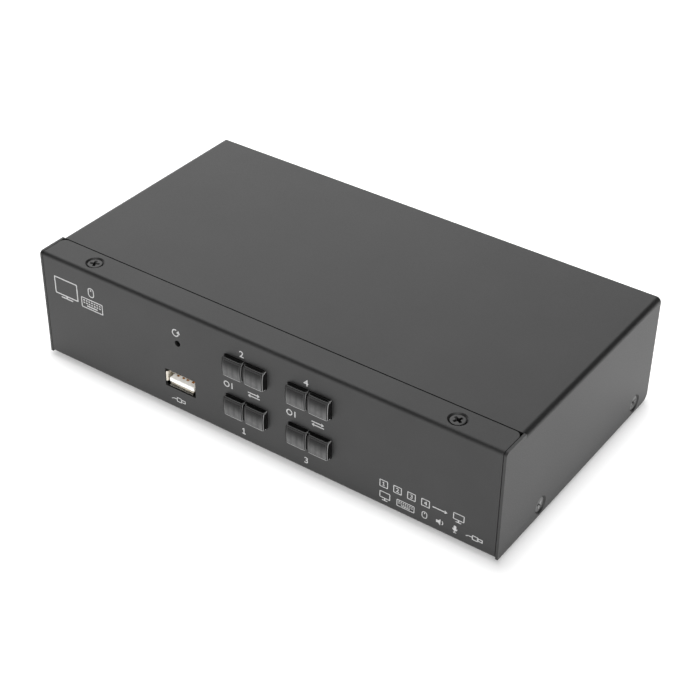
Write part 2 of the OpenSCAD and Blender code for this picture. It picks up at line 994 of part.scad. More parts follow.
// White insert of one type B socket: cavity and central tongue
module usb_b_insert(n) {
  fit = can_wall + 0.05;
  inset = usb_b_bevel - 0.586 * fit;
  floor_y = socket_mouth - usb_b_cavity;
  color("white")
    translate([port_x[n - 1], 0, usb_b_z]) {
      difference() {
        along_y(socket_mouth - usb_b[1] + fit, socket_mouth - fit)
          bevel_rect(usb_b[0] - 2 * fit, usb_b[2] - 2 * fit, inset);
        along_y(floor_y, socket_mouth + cut)
          bevel_rect(usb_b_window[0], usb_b_window[1], usb_b_window_bevel);
      }
      block([-usb_b_tongue[0] / 2, floor_y - eps, -usb_b_tongue[2] / 2],
            [usb_b_tongue[0] / 2, floor_y + usb_b_tongue[1], usb_b_tongue[2] / 2]);
    }
}

// Contacts above and below each type B tongue
module usb_b_contacts() {
  floor_y = socket_mouth - usb_b_cavity;
  color("peru")
    for (x = port_x)
      for (side = [0, 1])
        for (dx = [-1.25, 1.25])
          translate([x + dx, 0, usb_b_z])
            mirror([0, 0, side])
              block([-0.5, floor_y, usb_b_tongue[2] / 2],
                    [0.5, floor_y + 6.4, usb_b_tongue[2] / 2 + contact_t]);
}

// ---------- audio and power ----------

// 3.5 mm jack with its round barrel through the rear panel
module audio_jack(x, tint) {
  front = rear_inner_y - 0.1;
  color(tint)
    translate([x, 0, jack_z])
      difference() {
        union() {
          block([-jack_body[0] / 2, front - jack_body[1], -jack_body[2] / 2],
                [jack_body[0] / 2, front, jack_body[2] / 2]);
          translate([0, jack_mouth, 0])
            rotate([90, 0, 0])
              cylinder(h = jack_mouth - front + eps, r = jack_barrel_r);
        }
        translate([0, jack_mouth + cut, 0])
          rotate([90, 0, 0])
            cylinder(h = jack_bore_len + cut, r = jack_bore_r);
      }
}

// Housing of the power jack
module power_jack() {
  low = dc_z - dc_axis_up;
  color([0.12, 0.12, 0.12])
    difference() {
      block([dc_x - dc_body[0] / 2, socket_mouth - dc_body[1], low],
            [dc_x + dc_body[0] / 2, socket_mouth, low + dc_body[2]]);
      translate([dc_x, socket_mouth + cut, dc_z])
        rotate([90, 0, 0])
          cylinder(h = dc_bore_len + cut, r = dc_bore_r);
      translate([dc_x, socket_mouth, dc_z])
        rotate([90, 0, 0])
          cylinder(h = dc_body[1] + cut, r = dc_tail_r + shank_fit);
    }
}

// Centre pin of the power jack, standing on the floor of its bore
module power_jack_pin() {
  color("silver")
    translate([dc_x, socket_mouth, dc_z])
      rotate([90, 0, 0]) {
        translate([0, 0, dc_pin_sink])
          cylinder(h = dc_bore_len - dc_pin_sink, r = dc_pin_r);
        translate([0, 0, dc_bore_len - eps])
          cylinder(h = dc_body[1] - dc_bore_len, r = dc_tail_r);
      }
}

// ---------- parts on the main board ----------

// Square chip standing on the main board
module chip(x, y, size, height) {
  color([0.1, 0.1, 0.1])
    block([x - size / 2, y - size / 2, main_top], [x + size / 2, y + size / 2, main_top + height]);
}

// Finned heat sink on the video switch chip
module heat_sink() {
  foot = main_top + chip_t;
  pitch = (sink_size - fin_t) / (sink_fins - 1);
  color("gainsboro")
    translate([chip_x - sink_size / 2, chip_y - sink_size / 2, foot]) {
      cube([sink_size, sink_size, sink_base]);
      for (i = [0:sink_fins - 1])
        translate([i * pitch, 0, sink_base - eps])
          cube([fin_t, sink_size, sink_h - sink_base]);
    }
}

// Upright electrolytic capacitors near the power jack
module capacitors() {
  color("darkslateblue")
    for (p = [[58, -26], [68, -26], [78, -26], [58, -14]])
      translate([p[0], p[1], main_top])
        cylinder(h = 8, r = 3.15);
}

// Square inductors of the power supply
module inductors() {
  color([0.15, 0.15, 0.16])
    for (y = [2, 14])
      translate([70, y, main_top])
        intersection() {
          block([-4, -4, 0], [4, 4, 4]);
          cylinder(h = 4, r = 5);
        }
}

chassis_tray();
top_cover();
flange_screws();
side_screws();
rubber_feet();
main_board();
main_board_spacers();
main_board_screws();
upper_board();
upper_board_spacers();
upper_board_screws();
front_board();
front_header();
stacking_header();
button_cap(1);  // button_cap_1
button_cap(2);  // button_cap_2
button_cap(3);  // button_cap_3
button_cap(4);  // button_cap_4
button_switch(1);  // button_switch_1
button_switch(2);  // button_switch_2
button_switch(3);  // button_switch_3
button_switch(4);  // button_switch_4
switch_plunger(1);  // switch_plunger_1
switch_plunger(2);  // switch_plunger_2
switch_plunger(3);  // switch_plunger_3
switch_plunger(4);  // switch_plunger_4
status_leds();
reset_switch();
reset_plunger();
front_usb_shell();
front_usb_insert();
front_usb_contacts();
hdmi_shell(port_x[0]);  // hdmi_shell_1
hdmi_shell(port_x[1]);  // hdmi_shell_2
hdmi_shell(port_x[2]);  // hdmi_shell_3
hdmi_shell(port_x[3]);  // hdmi_shell_4
hdmi_shell(hdmi_out_x);  // hdmi_out_shell
hdmi_inserts();
usb_b_shell(1);  // usb_b_shell_1
usb_b_shell(2);  // usb_b_shell_2
usb_b_shell(3);  // usb_b_shell_3
usb_b_shell(4);  // usb_b_shell_4
usb_b_insert(1);  // usb_b_insert_1
usb_b_insert(2);  // usb_b_insert_2
usb_b_insert(3);  // usb_b_insert_3
usb_b_insert(4);  // usb_b_insert_4
usb_b_contacts();
console_usb_shell();
console_usb_insert();
console_usb_contacts();
audio_jack(jack_x[0], "limegreen");  // speaker_jack
audio_jack(jack_x[1], "hotpink");  // microphone_jack
power_jack();
power_jack_pin();
chip(chip_x, chip_y, chip_size, chip_t);  // video_switch_chip
heat_sink();
chip(30, -16, 10, 1.2);  // hub_chip
chip(52, 4, 12, 1.2);  // control_chip
capacitors();
inductors();
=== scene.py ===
"""Looks of the four-port KVM switch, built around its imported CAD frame. Lengths are metres."""

import json
import math

import bmesh
import bpy
from mathutils import Matrix, Vector


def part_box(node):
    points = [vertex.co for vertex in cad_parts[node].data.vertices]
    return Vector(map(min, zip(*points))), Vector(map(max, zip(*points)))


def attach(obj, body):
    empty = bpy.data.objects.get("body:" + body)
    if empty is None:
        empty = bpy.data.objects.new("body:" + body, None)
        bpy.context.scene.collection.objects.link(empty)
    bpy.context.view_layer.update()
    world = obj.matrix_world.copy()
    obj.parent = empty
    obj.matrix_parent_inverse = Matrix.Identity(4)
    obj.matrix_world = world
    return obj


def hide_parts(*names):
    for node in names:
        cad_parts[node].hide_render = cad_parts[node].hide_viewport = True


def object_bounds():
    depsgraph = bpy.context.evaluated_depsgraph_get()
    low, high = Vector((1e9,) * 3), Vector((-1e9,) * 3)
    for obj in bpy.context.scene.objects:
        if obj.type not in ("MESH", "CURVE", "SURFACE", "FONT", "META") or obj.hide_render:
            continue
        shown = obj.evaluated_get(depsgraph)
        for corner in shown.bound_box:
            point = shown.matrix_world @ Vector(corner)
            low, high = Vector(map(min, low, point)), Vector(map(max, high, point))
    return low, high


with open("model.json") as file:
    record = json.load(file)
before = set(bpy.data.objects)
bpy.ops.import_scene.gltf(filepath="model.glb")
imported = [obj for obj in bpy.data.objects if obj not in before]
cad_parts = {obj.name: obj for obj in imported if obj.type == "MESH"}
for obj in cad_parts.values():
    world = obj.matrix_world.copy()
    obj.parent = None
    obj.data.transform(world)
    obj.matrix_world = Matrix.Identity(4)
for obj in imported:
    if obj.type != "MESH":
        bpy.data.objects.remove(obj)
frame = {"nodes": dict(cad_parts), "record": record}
CAD_LOW, CAD_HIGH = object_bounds()
NODES = frame["nodes"]
MM = 0.001


# ---------- node helpers ----------

def add(tree, kind, place=(0, 0), **settings):
    """New shader node with its settings."""
    node = tree.nodes.new(kind)
    node.location = place
    for name, value in settings.items():
        setattr(node, name, value)
    return node


def start_material(name, **constants):
    """New material with a Principled shader whose constant sockets are set here."""
    made = bpy.data.materials.new(name)
    made.use_nodes = True
    tree = made.node_tree
    shader = tree.nodes["Principled BSDF"]
    for socket, value in constants.items():
        shader.inputs[socket.replace("_", " ")].default_value = value
    return made, tree, shader


def noise(tree, scale, detail=3.0, rough=0.5):
    """Noise over the object's own coordinates, in metres."""
    where = add(tree, "ShaderNodeTexCoord", (-1100, 0))
    made = add(tree, "ShaderNodeTexNoise", (-720, 0))
    made.inputs["Scale"].default_value = scale
    made.inputs["Detail"].default_value = detail
    made.inputs["Roughness"].default_value = rough
    tree.links.new(where.outputs["Object"], made.inputs["Vector"])
    return made.outputs["Fac"]


def ramp(tree, factor, low, high, low_at=0.3, high_at=0.7):
    """Colour ramp from low to high. A single number stands for a grey."""
    made = add(tree, "ShaderNodeValToRGB", (-480, 0))
    for stop, value, at in ((0, low, low_at), (1, high, high_at)):
        grey = value if isinstance(value, (tuple, list)) else (value,) * 3
        made.color_ramp.elements[stop].position = at
        made.color_ramp.elements[stop].color = (*grey, 1.0)
    tree.links.new(factor, made.inputs["Fac"])
    return made.outputs["Color"]


def bump(tree, shader, height, strength, distance):
    """Adds a bump to whatever normal the shader already has."""
    made = add(tree, "ShaderNodeBump", (-240, -300))
    made.inputs["Strength"].default_value = strength
    made.inputs["Distance"].default_value = distance
    tree.links.new(height, made.inputs["Height"])
    if shader.inputs["Normal"].is_linked:
        tree.links.new(shader.inputs["Normal"].links[0].from_socket, made.inputs["Normal"])
    tree.links.new(made.outputs["Normal"], shader.inputs["Normal"])


def reckon(tree, operation, *values):
    """Math node over sockets and numbers."""
    made = add(tree, "ShaderNodeMath", (-900, -200), operation=operation)
    for i, value in enumerate(values):
        if isinstance(value, (int, float)):
            made.inputs[i].default_value = value
        else:
            tree.links.new(value, made.inputs[i])
    return made.outputs["Value"]


def fade(tree, value, start, full):
    """Smooth weight of a length in millimetres: 0 at start and 1 at full."""
    made = add(tree, "ShaderNodeMapRange", (-700, -200), interpolation_type="SMOOTHSTEP")
    made.inputs["From Min"].default_value = start * MM
    made.inputs["From Max"].default_value = full * MM
    tree.links.new(value, made.inputs["Value"])
    return made.outputs["Result"]


# ---------- materials ----------

def powder_coat():
    """Fine-grained anthracite powder coat."""
    made, tree, shader = start_material("powder_coat", Specular_IOR_Level=0.5)
    cloud = noise(tree, 38.0, detail=4.0)
    grain = noise(tree, 2300.0, detail=2.0, rough=0.6)
    tree.links.new(ramp(tree, cloud, 0.011, 0.016), shader.inputs["Base Color"])
    tree.links.new(ramp(tree, grain, 0.38, 0.48), shader.inputs["Roughness"])
    bump(tree, shader, grain, 0.35, 0.03 * MM)
    return made


def plain_finish(name, low, high, roughness, scale=400.0, grain=0.02, **constants):
    """Moulded or coated surface: clouded colour, mottled roughness and a fine bump."""
    made, tree, shader = start_material(name, **constants)
    cloud = noise(tree, scale)
    fine = noise(tree, scale * 9)
    tree.links.new(ramp(tree, cloud, low, high), shader.inputs["Base Color"])
    tree.links.new(ramp(tree, fine, roughness[0], roughness[1]), shader.inputs["Roughness"])
    bump(tree, shader, fine, 0.25, grain * MM)
    return made


# Millimetres, from the cap's middle across and up.
LENS_MIDDLE = 4.68          # middle of a half
LENS_FRAME = (3.75, 3.3)    # half width and half height of the light guide seen inside a half
LENS_LINE = (0.2, 0.5)      # its frame line, from and to this far inside
LENS_FACE = (0.72, 0.5)     # the half's own edge, this far outside the guide's
LENS_BAR = 2.5              # pitch of its upright ribs
LENS_SHADE = (2.9, -2.2)    # painted shade: it lightens from the first of these heights down to the second
LENS_GLOW = 0.22            # how light the guide is
LENS_RIM = 0.05             # how much lighter its frame line is

# Painted highlights: lines where a half's rounded rim is painted lighter, standing in for the light it
# catches: axis (0 across, 1 up), where the line starts, is full, fades and ends along it, and how light it
# is.
LENS_RIM_HIGHLIGHTS = [(0, 8.8, 8.92, 9.0, 9.12, 0.5), (0, -0.56, -0.44, -0.34, -0.24, 0.25),
             (1, -3.42, -3.58, -3.86, -4.05, 0.62), (1, 3.6, 3.72, 3.84, 3.95, 0.16)]
SMOKE_BLACK, SMOKE_LIGHT = 0.004, 0.404


def smoked_plastic():
    """Polished smoked plastic with a dim ribbed light guide behind each half of the cap, painted shade
    towards the top and painted highlights along the rims.
    """
    made, tree, shader = start_material("smoked_plastic", Specular_IOR_Level=0.22)
    where = add(tree, "ShaderNodeTexCoord", (-1500, -200))
    apart = add(tree, "ShaderNodeSeparateXYZ", (-1300, -200))
    tree.links.new(where.outputs["Object"], apart.inputs["Vector"])
    x, z = apart.outputs["X"], apart.outputs["Z"]
    off = reckon(tree, "SUBTRACT", reckon(tree, "ABSOLUTE", x), LENS_MIDDLE * MM)
    across, up = reckon(tree, "ABSOLUTE", off), reckon(tree, "ABSOLUTE", z)
    half_width, half_height = LENS_FRAME
    guide = reckon(tree, "MULTIPLY", fade(tree, across, half_width + 0.12, half_width - 0.12),
                   fade(tree, up, half_height + 0.15, half_height - 0.15))
    near, far = LENS_LINE
    inside = reckon(tree, "MULTIPLY", fade(tree, across, half_width - near, half_width - far),
                    fade(tree, up, half_height - near, half_height - far))
    frame_line = reckon(tree, "SUBTRACT", guide, inside)
    wave = reckon(tree, "SINE", reckon(tree, "MULTIPLY", off, 2 * math.pi / (LENS_BAR * MM)))
    bars = fade(tree, reckon(tree, "MULTIPLY", wave, MM), -0.9, 0.3)
    ribs = reckon(tree, "MULTIPLY_ADD", bars, 0.22, 0.78)
    cloud = reckon(tree, "MULTIPLY_ADD", noise(tree, 420.0), 0.9, 0.55)
    # The guide's ribbed, clouded tone, with painted shade darkening it towards the top.
    lightness_with_painted_shade = reckon(tree, "MULTIPLY", reckon(tree, "MULTIPLY", ribs, cloud), fade(tree, z, *LENS_SHADE))
    level = reckon(tree, "ADD", reckon(tree, "MULTIPLY", reckon(tree, "MULTIPLY", lightness_with_painted_shade, guide), LENS_GLOW),
                   reckon(tree, "MULTIPLY", frame_line, LENS_RIM))
    face = fade(tree, across, half_width + LENS_FACE[0], half_width + LENS_FACE[1])
    # Painted highlights along the halves' rounded rims and the slit's edge.
    for axis, start, full, fall, end, light in LENS_RIM_HIGHLIGHTS:
        place = (x, z)[axis]
        line = reckon(tree, "MULTIPLY", fade(tree, place, start, full), fade(tree, place, end, fall))
        if axis == 1:
            line = reckon(tree, "MULTIPLY", line, face)
        level = reckon(tree, "MULTIPLY_ADD", line, light, level)
    tree.links.new(ramp(tree, level, SMOKE_BLACK, SMOKE_LIGHT, 0.0, 1.0), shader.inputs["Base Color"])
    fine = noise(tree, 3600.0)
    tree.links.new(ramp(tree, fine, 0.12, 0.18), shader.inputs["Roughness"])
    bump(tree, shader, fine, 0.15, 0.01 * MM)
    return made


RECESS_HOLLOW = (0.42, 0.5)    # pointiness of a hollow, and of a flat
RECESS_DARK = 0.04             # painted shade: share of the tone that is left in a hollow


def screw_zinc(name, level):
    """Black zinc of this lightness, with painted shade darkening the hollows of the recess."""
    made, tree, shader = start_material(name, Metallic=1.0)
    # Painted shade: the tone drops where the surface is hollow.
    shape = add(tree, "ShaderNodeNewGeometry", (-1100, -200))
    painted_recess_shade = add(tree, "ShaderNodeMapRange", (-900, -200))
    painted_recess_shade.inputs["From Min"].default_value = RECESS_HOLLOW[0]
    painted_recess_shade.inputs["From Max"].default_value = RECESS_HOLLOW[1]
    painted_recess_shade.inputs["To Min"].default_value = RECESS_DARK
    tree.links.new(shape.outputs["Pointiness"], painted_recess_shade.inputs["Value"])
    cloud = reckon(tree, "MULTIPLY_ADD", noise(tree, 400.0), level * 0.4, level * 0.8)
    shade = reckon(tree, "MULTIPLY", cloud, painted_recess_shade.outputs["Result"])
    tree.links.new(ramp(tree, shade, 0.0, 1.0, 0.0, 1.0), shader.inputs["Base Color"])
    fine = noise(tree, 3600.0)
    tree.links.new(ramp(tree, fine, 0.34, 0.44), shader.inputs["Roughness"])
    bump(tree, shader, fine, 0.25, 0.02 * MM)
    return made


MATERIALS = {
    "case_paint": powder_coat(),
    "black_screw": screw_zinc("black_zinc", 0.072),
    "foot_rubber": plain_finish("foot_rubber", 0.012, 0.022, (0.75, 0.9), grain=0.05),
    "board_green": plain_finish("solder_mask", (0.008, 0.07, 0.03), (0.012, 0.11, 0.045), (0.3, 0.42)),
    "plated_steel": plain_finish("zinc_plate", 0.5, 0.66, (0.22, 0.36), Metallic=1.0),
    "header_black": plain_finish("header_plastic", 0.015, 0.025, (0.5, 0.62)),
    "button_smoke": smoked_plastic(),
    "switch_black": plain_finish("switch_plastic", 0.02, 0.035, (0.45, 0.6)),
    "plunger_ivory": plain_finish("plunger_plastic", (0.62, 0.58, 0.45), (0.72, 0.68, 0.55), (0.35, 0.5)),
    "led_clear": plain_finish("led_epoxy", 0.62, 0.74, (0.18, 0.3)),
    "socket_metal": plain_finish("nickel_plate", (0.62, 0.58, 0.5), (0.74, 0.7, 0.62), (0.2, 0.34),
                                 Metallic=1.0),
    "insert_white": plain_finish("white_plastic", (0.88, 0.87, 0.84), (0.95, 0.94, 0.92), (0.3, 0.42)),
    "insert_black": plain_finish("black_plastic", 0.012, 0.022, (0.38, 0.5)),
    "contact_gold": plain_finish("gold_plate", (0.62, 0.26, 0.07), (0.78, 0.38, 0.13), (0.22, 0.34),
                                 Metallic=1.0),
    "jack_green": plain_finish("green_plastic", (0.1, 0.4, 0.08), (0.14, 0.5, 0.11), (0.35, 0.5)),
    "jack_pink": plain_finish("pink_plastic", (0.7, 0.16, 0.28), (0.8, 0.22, 0.34), (0.35, 0.5)),
    "chip_black": plain_finish("chip_epoxy", 0.014, 0.024, (0.55, 0.7)),
    "sink_aluminium": plain_finish("milled_aluminium", 0.62, 0.74, (0.25, 0.4), Metallic=1.0),
    "capacitor_sleeve": plain_finish("capacitor_sleeve", (0.01, 0.02, 0.07), (0.015, 0.03, 0.1),
                                     (0.15, 0.25)),
}

INK_WHITE = plain_finish("white_ink", 0.4, 0.47, (0.5, 0.62), scale=900.0, grain=0.008)

for part in frame["record"]["subparts"]:
    cad = NODES[part["node"]]
    cad.data.materials.clear()
    cad.data.materials.append(MATERIALS[part["material_slot"]])


# ---------- mesh helpers, in millimetres ----------

def box_mm(node):
    """Lowest and highest corner of a CAD node, in millimetres."""
    low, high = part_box(node)
    return low / MM, high / MM


def corner_arc(before, corner, after, radius, steps):
    """Points of a fillet of this radius at a polygon's corner."""
    one, two = (before - corner).normalized(), (after - corner).normalized()
    half = one.angle(two) / 2
    reach = min(radius / math.tan(half), 0.49 * min((before - corner).length, (after - corner).length))
    rise = reach * math.tan(half)
    middle = corner + (one + two).normalized() * (rise / math.sin(half))
    start, end = corner + one * reach - middle, corner + two * reach - middle
    points = []
    sweep = start.angle(end)
    for step in range(steps + 1):
        share = step / steps
        blend = start * math.sin((1 - share) * sweep) + end * math.sin(share * sweep)
        points.append(middle + blend / max(math.sin(sweep), 1e-6))
    return points


def filleted(corners, radius, steps=5, sides=1):
    """Closed outline through these corners, each with a fillet, and each side cut into this many runs."""
    corners = [Vector(c) for c in corners]
    outline = []
    for i, corner in enumerate(corners):
        arc = corner_arc(corners[i - 1], corner, corners[(i + 1) % len(corners)], radius, steps)
        if outline and sides > 1:
            last = outline[-1]
            outline += [last.lerp(arc[0], k / sides) for k in range(1, sides)]
        outline += arc
    if sides > 1:
        outline += [outline[-1].lerp(outline[0], k / sides) for k in range(1, sides)]
    return outline


def rect(width, height, radius, steps=5, sides=1):
    """Round-cornered rectangle centred on the origin."""
    x, z = width / 2, height / 2
    return filleted([(-x, -z), (x, -z), (x, z), (-x, z)], radius, steps, sides)


def loft(rings, caps=(True, True)):
    """Skin through rings of equal length. A ring is a list of 3-D points."""
    count = len(rings[0])
    verts = [tuple(p) for ring in rings for p in ring]
    faces = []
    for r in range(len(rings) - 1):
        for i in range(count):
            j = (i + 1) % count
            faces.append((r * count + i, r * count + j, (r + 1) * count + j, (r + 1) * count + i))
    if caps[0]:
        faces.append(tuple(reversed(range(count))))
    if caps[1]:
        faces.append(tuple(range((len(rings) - 1) * count, len(rings) * count)))
    return verts, faces


def tube(rings):
    """Skin through rings that ends where it starts, such as a hollow shell's wall."""
    count = len(rings[0])
    verts, faces = loft(rings, (False, False))
    last = (len(rings) - 1) * count
    for i in range(count):
        j = (i + 1) % count
        faces.append((last + i, last + j, j, i))
    return verts, faces


def plan_ring(outline, y):
    """Outline in X and Z set at this Y."""
    return [(p[0], y, p[1]) for p in outline]


def prism(outline, low, high, axis="y"):
    """Outline pushed out along an axis. Its two numbers are the other two axes, in order."""
    order = {"x": lambda p, t: (t, p[0], p[1]), "y": lambda p, t: (p[0], t, p[1]),
             "z": lambda p, t: (p[0], p[1], t)}[axis]
    return loft([[order(p, low) for p in outline], [order(p, high) for p in outline]])


def brick(low, high):
    """Block between two corners."""
    (x0, y0, z0), (x1, y1, z1) = low, high
    return prism([(x0, z0), (x1, z0), (x1, z1), (x0, z1)], y0, y1)


def revolved(profile, steps=48):
    """Profile of (radius, height) turned about Z, closed at both ends."""
    return loft([[(r * math.cos(2 * math.pi * i / steps), r * math.sin(2 * math.pi * i / steps), z)
                  for i in range(steps)] for r, z in profile])


def moved(shape, turn):
    """Shape with a matrix applied."""
    verts, faces = shape
    return [tuple(turn @ Vector(v)) for v in verts], faces


def shifted(shape, x=0.0, y=0.0, z=0.0):
    """Shape moved by these lengths."""
    return moved(shape, Matrix.Translation((x, y, z)))


def piece(name, shapes, slot, body="case", replaces=(), origin=(0, 0, 0), edge=0.0, smooth=40,
          material=None):
    """One object made of closed shapes in millimetres, with its finish, bevelled edges and body."""
    made = bmesh.new()
    for verts, faces in shapes:
        new = [made.verts.new(Vector(v) * MM) for v in verts]
        for face in faces:
            made.faces.new([new[i] for i in face])
    bmesh.ops.recalc_face_normals(made, faces=made.faces)
    mesh = bpy.data.meshes.new(name)
    made.to_mesh(mesh)
    made.free()
    mesh.materials.append(material or MATERIALS[slot])
    mesh.shade_smooth()
    mesh.set_sharp_from_angle(angle=math.radians(smooth))
    done = bpy.data.objects.new(name, mesh)
    bpy.context.scene.collection.objects.link(done)
    done.location = Vector(origin) * MM
    if edge:
        add_bevel(done, edge)
    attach(done, body)
    if replaces:
        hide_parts(*replaces)
    return done


def add_bevel(made, width):
    """Rounds the sharp edges of an object by this many millimetres."""
    round_off = made.modifiers.new("edges", "BEVEL")
    round_off.width = width * MM
    round_off.segments = 2
    round_off.limit_method = "ANGLE"
    round_off.angle_limit = math.radians(40)
    round_off.use_clamp_overlap = True
    round_off.harden_normals = True


# ---------- buttons ----------

CAP_LIP = 1.2          # retaining lip round a cap, behind the panel
CAP_SLIT = 0.3         # slit between a cap's halves
CAP_EDGE = 0.38        # radius of a half's rounded edges
CAP_CORNER = 1.25      # radius of a half's corners, seen from the front
CAP_GROOVE = 1.5       # depth of the slit
CAP_CROWN = (0.14, 0.75, 0.3)    # how far a half's face falls away at its sides, top and bottom
STEM_SIZE = (4.4, 4)   # the stem behind a cap, across and up


def cap_half(width, height, middle):
    """Pillow-shaped half of a button's face. Y is 0 at the crown and grows inwards."""
    def face(outline, y):
        ring = []
        for p in outline:
            steep = CAP_CROWN[1] if p[1] > 0 else CAP_CROWN[2]
            fall = CAP_CROWN[0] * (2 * p[0] / width) ** 2 + steep * (2 * p[1] / height) ** 2
            ring.append((p[0] + middle, y + fall, p[1]))
        return ring

    def outline(inset):
        return rect(width - 2 * inset, height - 2 * inset, max(CAP_CORNER - inset, 0.3), 5, 8)

    rings = [[(p[0] + middle, CAP_GROOVE + 0.2, p[1]) for p in outline(0)]]
    steps = 7
    for step in range(steps + 1):
        turn = math.pi / 2 * step / steps
        rings.append(face(outline(CAP_EDGE * (1 - math.cos(turn))), CAP_EDGE * (1 - math.sin(turn))))
    flat = outline(CAP_EDGE)
    for share in (0.85, 0.68, 0.5, 0.32, 0.15):
        rings.append(face([p * share for p in flat], 0))
    return loft(rings)


def make_buttons():
    """Four smoked caps, each with two pillow-shaped halves, a lip and a stem."""
    for number in range(1, 5):
        node = f"button_cap_{number}"
        low, high = box_mm(node)
        width, height = high.x - low.x - 2 * CAP_LIP, high.z - low.z - 2 * CAP_LIP
        depth = high.y - low.y
        panel = box_mm("chassis_tray")[0].y - low.y
        lip = panel + 1.2
        half = (width - CAP_SLIT) / 2
        wide, tall = width + 2 * CAP_LIP, height + 2 * CAP_LIP
        body = [(width - 0.3, height - 0.3, CAP_GROOVE), (width, height, CAP_GROOVE + 0.15),
                (width, height, lip), (wide, tall, lip), (wide, tall, lip + 1),
                (*STEM_SIZE, lip + 1), (*STEM_SIZE, depth)]
        base = loft([plan_ring(rect(w, h, CAP_CORNER - 0.3), y) for w, h, y in body])
        shapes = [cap_half(half, height, side * (half + CAP_SLIT) / 2) for side in (-1, 1)] + [base]
        origin = ((low.x + high.x) / 2, low.y, (low.z + high.z) / 2)
        piece(f"port_button_{number}", shapes, "button_smoke", f"button_{number}", [node], origin,
              smooth=50)


# ---------- screws ----------

RECESS_REACH = 1.7     # length of a recess arm, from the middle
RECESS_HALF = 0.5      # half an arm's width
HEAD_RISE = (0.3, 0.15)    # how far the drawn heads stand above the CAD ones: flange, sides
HEAD_GAP = 0.1         # how much smaller in radius they are
FLANGE_TURNS = (24, 62)    # how far each screw is turned, in degrees
SIDE_TURNS = (12, 40, 60, 36)


def screw(head_r):
    """Countersunk screw with a cross recess. Z is 0 at the top of its head."""
    head_r -= HEAD_GAP
    corner = math.atan(RECESS_HALF / RECESS_REACH)
    angles = []
    for arm in range(4):
        for part in (-math.pi / 4, -0.5, -corner, -corner / 2, 0, corner / 2, corner, 0.5):
            angles.append((arm * math.pi / 2 + part, abs(part)))

    def circle(r, z):
        return [(r * math.cos(a), r * math.sin(a), z) for a, _ in angles]

    def cross(grow, z, share=1.0):
        ring = []
        for a, off in angles:
            r = min(RECESS_REACH / math.cos(off), RECESS_HALF / max(math.sin(off), 0.05)) * share + grow
            ring.append((r * math.cos(a), r * math.sin(a), z))
        return ring

    shank = 1.45
    rings = [circle(shank, -5.5), circle(shank, -0.15 - (head_r - shank)), circle(head_r, -0.15),
             circle(head_r - 0.04, -0.06), circle(head_r - 0.16, 0.0), circle(head_r - 0.5, 0.03),
             cross(0.12, 0.03), cross(0.0, -0.07), cross(0.0, -0.5, 0.84), cross(0.0, -1.05, 0.55),
             circle(0.12, -1.5)]
    return loft(rings)


def make_screws():
    """Two countersunk screws in the front flange and two in each side sheet."""
    low, high = box_mm("flange_screws")
    head = (high.y - low.y) / 2
    shapes = []
    for x, turn in zip((low.x + head, high.x - head), FLANGE_TURNS):
        place = (Matrix.Translation((x, (low.y + high.y) / 2, high.z + HEAD_RISE[0]))
                 @ Matrix.Rotation(math.radians(turn), 4, "Z"))
        shapes.append(moved(screw(head), place))
    piece("flange_screw_pair", shapes, "black_screw", replaces=["flange_screws"], smooth=35)
    low, high = box_mm("side_screws")
    shapes = []
    turns = iter(SIDE_TURNS)
    for side, x in ((-1, low.x), (1, high.x)):
        for y in (low.y + head, high.y - head):
            place = (Matrix.Translation((x + side * HEAD_RISE[1], y, (low.z + high.z) / 2))
                     @ Matrix.Rotation(side * math.pi / 2, 4, "Y")
                     @ Matrix.Rotation(math.radians(next(turns)), 4, "Z"))
            shapes.append(moved(screw(head), place))
    # The side screws take a lighter copy of the black zinc: painted light for the brighter heads on the
    # sides.
    piece("side_screw_set", shapes, "black_screw", replaces=["side_screws"], smooth=35,
          material=screw_zinc("black_zinc_painted_lighter", 0.15))


# ---------- USB type A sockets ----------

FLAP_SECTION = [(1.5, 0.0), (0.9, 0.02), (0.45, 0.16), (0.0, 0.5), (-0.12, 0.68),
                (0.02, 0.86), (0.3, 0.62), (0.62, 0.42), (1.0, 0.32), (1.5, 0.3)]


def flaps(width, height, wall):
    """Four flared lips round a socket's mouth. Y is 0 at the mouth and grows inwards."""
    made = []
    long_half, short_half = width / 2 - 1.25, height / 2 - 0.75
    for side in (-1, 1):
        top = [(y, side * (height / 2 - wall + out)) for y, out in FLAP_SECTION]
        made.append(prism(top, -long_half, long_half, "x"))
        edge = [(side * (width / 2 - wall + out), y) for y, out in FLAP_SECTION]
        made.append(prism(edge, -short_half, short_half, "z"))
    return made


TONGUE_LOW = -2.0      # the tongue's lower and upper face, from the socket's middle
TONGUE_TOP = -0.16
TONGUE_TIP = 0.3       # its front and its root, from the socket's mouth
TONGUE_ROOT = 9.5
TONGUE_HALF = 5.55     # half its width
CONTACT_TIP = 2.4      # front ends of the contacts, from the mouth


def usb_tongue(root):
    """Tongue of a type A socket with its rounded front edge."""
    tip, low_z, high_z = TONGUE_TIP, TONGUE_LOW, TONGUE_TOP
    section = [(root, low_z), (tip + 0.25, low_z), (tip + 0.07, low_z + 0.08), (tip, low_z + 0.3),
               (tip, high_z - 0.3), (tip + 0.07, high_z - 0.08), (tip + 0.25, high_z), (root, high_z)]
    return prism(section, -TONGUE_HALF, TONGUE_HALF, "x")


def usb_contacts(flip):
    """Four sprung contact strips that dive into the tongue at their front ends. Flip is -1 upside down."""
    start, root, top = CONTACT_TIP, TONGUE_ROOT, TONGUE_TOP
    made = []
    for x in (-3.5, -1.0, 1.0, 3.5):
        section = [(start - 0.3, top - 0.12), (start, top + 0.08), (start + 0.35, top + 0.22),
                   (start + 1.1, top + 0.25), (root, top + 0.2), (root, top - 0.12)]
        made.append(prism([(y, flip * z) for y, z in section], x - 0.5, x + 0.5, "x"))
    return made


